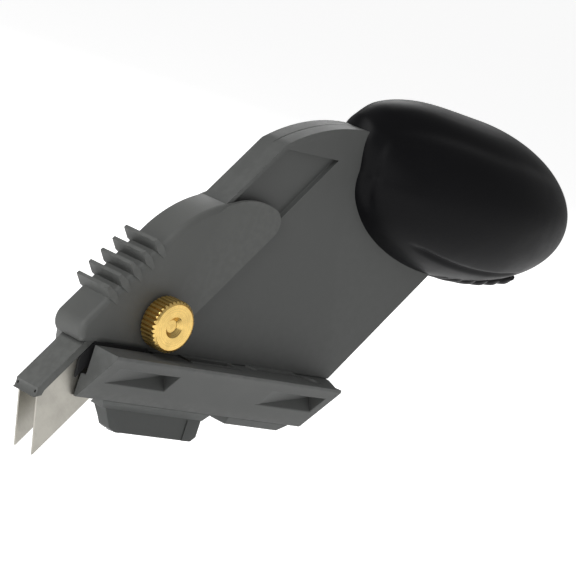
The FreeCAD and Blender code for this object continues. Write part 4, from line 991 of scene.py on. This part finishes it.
@dataclass
class PalmGrip:
    """The soft cover of the grip and the ridged pad under it.

    Angles are in degrees. Places and widths without a unit are shares of the egg's half sizes.
    """

    cuts: int = 120
    tilt: float = 1.5
    visor_reach: float = 8.6 * MM
    visor_up: Span = (3.0, 22.0)
    visor_down: Span = (24.0, 92.0)
    visor_end: float = 120.0
    visor_spread: float = 0.42
    lean: float = 4.4 * MM
    lean_up: Span = (2.0, 17.0)
    lean_down: Span = (19.0, 56.0)
    crease_depth: float = 0.45 * MM
    crease_angle: float = 46.0
    crease_rise: float = 13.0
    crease_turn: Span = (0.0, 0.75)
    crease_width: float = 7.0
    crease_fade: Span = (-0.75, -0.2)
    band_height: float = 0.7 * MM
    band_rise: float = 18.0
    band_fade: Span = (-0.8, 0.1)
    rim_depth: float = 0.5 * MM
    rim_front: float = 0.93
    rim_clear: Span = (0.0, 0.12)
    rim_start: Span = (0.78, 0.93)
    rim_low: Span = (-0.5, -0.2)
    rim_high: Span = (0.24, 0.42)
    rim_place: float = 0.32
    rim_width: float = 0.05
    roll_height: float = 0.4 * MM
    roll_place: float = 0.2
    roll_width: float = 0.075
    groove_depth: float = 1.1 * MM
    groove_angle: float = 48.0
    groove_width: float = 2.6
    groove_start: Span = (-0.6, -0.4)
    groove_end: Span = (0.35, 0.55)
    ridges: int = 8
    pad_front: float = 62.0 * MM
    pad_rear: float = 108.0 * MM
    pad_half: float = 13.0 * MM
    ridge_round: float = 2.9 * MM
    ridge_height: float = 0.75
    ridge_sink: float = 0.45
    ridge_steps: int = 28
    ridge_sides: int = 14
    end_taper: float = 0.55
    end_span: Span = (0.75, 1.0)
    row_sag: float = 2.4 * MM
    rubber: Moulding = Moulding(
        "Soft Black Rubber", (0.003, 0.003, 0.0036, 1.0), 0.46, 1700.0, 0.00005, 0.1, specular=0.09)
    core: Moulding = Moulding("Black ABS", (0.03, 0.03, 0.03, 1.0), 0.5, 1700.0, 0.00004, 0.1)
    halves: Vector = field(init=False)
    centre: Vector = field(init=False)

    def build(self) -> None:
        """Make and dress the pieces."""
        rubber = self.rubber.make()
        low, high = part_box("grip_cover")
        self.centre = (low + high) / 2
        self.halves = (high - low) / 2
        adopt(hang_up("grip_soft_cover", self.cover(), rubber, 60.0), Rider.TOOL, Slot.RUBBER, "grip_cover")
        ridge = hang_up("grip_ridges", self.ridge(), rubber, 50.0)
        pitch = (self.pad_rear - self.pad_front) / self.ridges
        lowest = self.centre.z - self.halves.z
        start = (self.pad_front + pitch / 2, 0.0, lowest + self.ridge_round * self.ridge_sink)
        values = {"Count": self.ridges, "Start": start, "Step": (pitch, 0.0, 0.0), "Sag": self.row_sag,
                  "Material": rubber}
        pass_through(ridge, IN_A_ROW, values)
        adopt(ridge, Rider.TOOL, Slot.RUBBER, "grip_pad")
        core = self.core.make()
        for node in ("grip_core_left", "grip_core_right"):
            dress(node, core)

    def cover(self) -> bmesh.types.BMesh:
        """The closed outer form of the cover.

        Returns:
            The shape.
        """
        shape = bmesh.new()
        bmesh.ops.create_cube(shape, size=2.0)
        bmesh.ops.subdivide_edges(shape, edges=shape.edges, cuts=self.cuts, use_grid_fill=True)
        turn = Matrix.Rotation(math.radians(self.tilt), 3, "Y")
        for vertex in shape.verts:
            unit = vertex.co.normalized()
            point = Vector(unit[i] * self.halves[i] for i in range(3))
            point += self.outward(unit) * self.dent(unit) + self.visor(unit)
            vertex.co = self.centre + turn @ point
        bmesh.ops.recalc_face_normals(shape, faces=shape.faces)
        return shape

    def outward(self, unit: Vector) -> Vector:
        """The egg's normal at a point of the unit sphere."""
        return Vector(unit[i] / self.halves[i] for i in range(3)).normalized()

    def dent(self, unit: Vector) -> float:
        """How far the surface is raised or sunk by its creases.

        Args:
            unit: the place on the unit sphere.

        Returns:
            The distance outwards, in metres.
        """
        x, y, z = unit
        around = math.degrees(math.atan2(z, abs(y)))
        crease_line = self.crease_angle + self.crease_rise * ramp(-x, *self.crease_turn)
        behind_rim = ramp(self.rim_front + x, *self.rim_clear)
        crease = (self.crease_depth * bell(around - crease_line, self.crease_width)
                  * ramp(-x, *self.crease_fade) * behind_rim)
        above_crease = ramp(around, crease_line, crease_line + self.band_rise)
        top_band = self.band_height * above_crease * ramp(-x, *self.band_fade) * behind_rim
        beside = ramp(-x, *self.rim_start) * ramp(z, *self.rim_low) * (1.0 - ramp(z, *self.rim_high))
        rim = -self.rim_depth * bell(abs(y) - self.rim_place, self.rim_width) * beside
        roll = self.roll_height * bell(abs(y) - self.roll_place, self.roll_width) * beside
        under_span = ramp(x, *self.groove_start) * (1.0 - ramp(x, *self.groove_end))
        under = -self.groove_depth * bell(around + self.groove_angle, self.groove_width) * under_span
        return top_band - crease + rim + roll + under

    def visor(self, unit: Vector) -> Vector:
        """The peak over the bar's crest.

        Args:
            unit: the place on the unit sphere.

        Returns:
            The shift of the surface, in metres.
        """
        lift = math.degrees(math.atan2(unit.z, -unit.x))
        if not 0.0 < lift < self.visor_end:
            return Vector()
        rise = ramp(lift, *self.visor_up) * (1.0 - ramp(lift, *self.visor_down))
        spread = bell(unit.y, self.visor_spread)
        ahead = ramp(lift, *self.lean_up) * (1.0 - ramp(lift, *self.lean_down))
        return Vector((-self.lean * ahead, 0.0, self.visor_reach * rise)) * spread

    def ridge(self) -> bmesh.types.BMesh:
        """One finger ridge, bent to the egg's underside.

        Returns:
            The shape, centred on X = 0, with its height from the egg's lowest line.
        """
        across, around = self.ridge_steps, self.ridge_sides
        shape = bmesh.new()
        rings = []
        for i in range(across + 1):
            share = 2.0 * i / across - 1.0
            y = self.pad_half * share
            lift = self.halves.z * (1.0 - math.sqrt(1.0 - (y / self.halves.y) ** 2))
            size = self.ridge_round * (1.0 - self.end_taper * ramp(abs(share), *self.end_span))
            ring = []
            for k in range(around):
                angle = math.tau * k / around
                height = lift + size * self.ridge_height * math.sin(angle)
                ring.append(shape.verts.new((size * math.cos(angle), y, height)))
            rings.append(ring)
        for ring, following in zip(rings, rings[1:]):
            for k in range(around):
                j = (k + 1) % around
                shape.faces.new((ring[k], ring[j], following[j], following[k]))
        shape.faces.new(rings[0])
        shape.faces.new(rings[-1])
        bmesh.ops.recalc_face_normals(shape, faces=shape.faces)
        return shape


# ---------------------------------------------------------------- the studio

@dataclass
class Studio:
    """Pale floor, soft lights and the camera."""

    camera_at: tuple[float, float, float] = (-0.6684, -0.64464, 0.16428)
    right: tuple[float, float, float] = (0.6801, -0.6647, 0.3093)
    up: tuple[float, float, float] = (-0.1251, 0.3105, 0.9423)
    back: tuple[float, float, float] = (-0.7224, -0.6796, 0.1280)
    lens: float = 187.5
    sensor: float = 36.0
    clip_end: float = 200.0
    floor_gap: float = 0.5 * MM
    floor_reach: float = 60.0
    floor_tone: Colour = (0.9, 0.9, 0.9, 1.0)
    floor_roughness: float = 0.9
    floor_glow: float = 0.62
    room: float = 0.36
    lights: tuple = (
        ("key", (-1.05, -0.1, 0.7), 0.7, 11.0),
        ("fill", (0.35, -1.0, 0.35), 0.9, 0.8),
        ("rim", (0.6, 0.7, 0.8), 0.6, 5.0),
    )

    def build(self) -> None:
        """Set the stage."""
        self.place_floor()
        self.place_lights()
        self.place_camera()

    def place_floor(self) -> None:
        """Lay a wide pale floor just under the tool."""
        shape = bmesh.new()
        bmesh.ops.create_grid(shape, x_segments=8, y_segments=8, size=self.floor_reach)
        for vertex in shape.verts:
            vertex.co.z = cad_low.z - self.floor_gap
        dressing = Dressing("Pale Floor")
        dressing.shader.inputs["Base Color"].default_value = self.floor_tone
        dressing.shader.inputs["Roughness"].default_value = self.floor_roughness
        dressing.shader.inputs["Emission Color"].default_value = WHITE
        dressing.shader.inputs["Emission Strength"].default_value = self.floor_glow
        floor = hang_up("studio_floor", shape, dressing.material, 30.0)

    def place_lights(self) -> None:
        """Hang the soft lights and light the room."""
        target = (cad_low + cad_high) / 2
        for name, spot, side, power in self.lights:
            lamp = bpy.data.lights.new(name, "AREA")
            lamp.size = side
            lamp.energy = power
            holder = bpy.data.objects.new(name, lamp)
            holder.location = spot
            holder.rotation_euler = (target - Vector(spot)).to_track_quat("-Z", "Y").to_euler()
            bpy.context.scene.collection.objects.link(holder)
        world = bpy.data.worlds.new("Room")
        world.use_nodes = True
        world.node_tree.nodes["Background"].inputs["Color"].default_value = WHITE
        world.node_tree.nodes["Background"].inputs["Strength"].default_value = self.room
        bpy.context.scene.world = world
        bpy.context.scene.view_settings.view_transform = "Standard"

    def place_camera(self) -> None:
        """Set up the camera."""
        data = bpy.data.cameras.new("camera")
        data.lens = self.lens
        data.sensor_width = self.sensor
        data.clip_end = self.clip_end
        camera = bpy.data.objects.new("camera", data)
        axes = Matrix((self.right, self.up, self.back)).transposed()
        camera.matrix_world = Matrix.Translation(self.camera_at) @ axes.to_4x4()
        bpy.context.scene.collection.objects.link(camera)
        bpy.context.scene.camera = camera


def main() -> None:
    """Build the tool and its stage."""
    for part in (SlantedBar(), Shoe(), Carriage(), ClampNut(), PalmGrip(), Studio()):
        log.info("building %s", type(part).__name__)
        part.build()


if __name__ == "__main__":
    main()
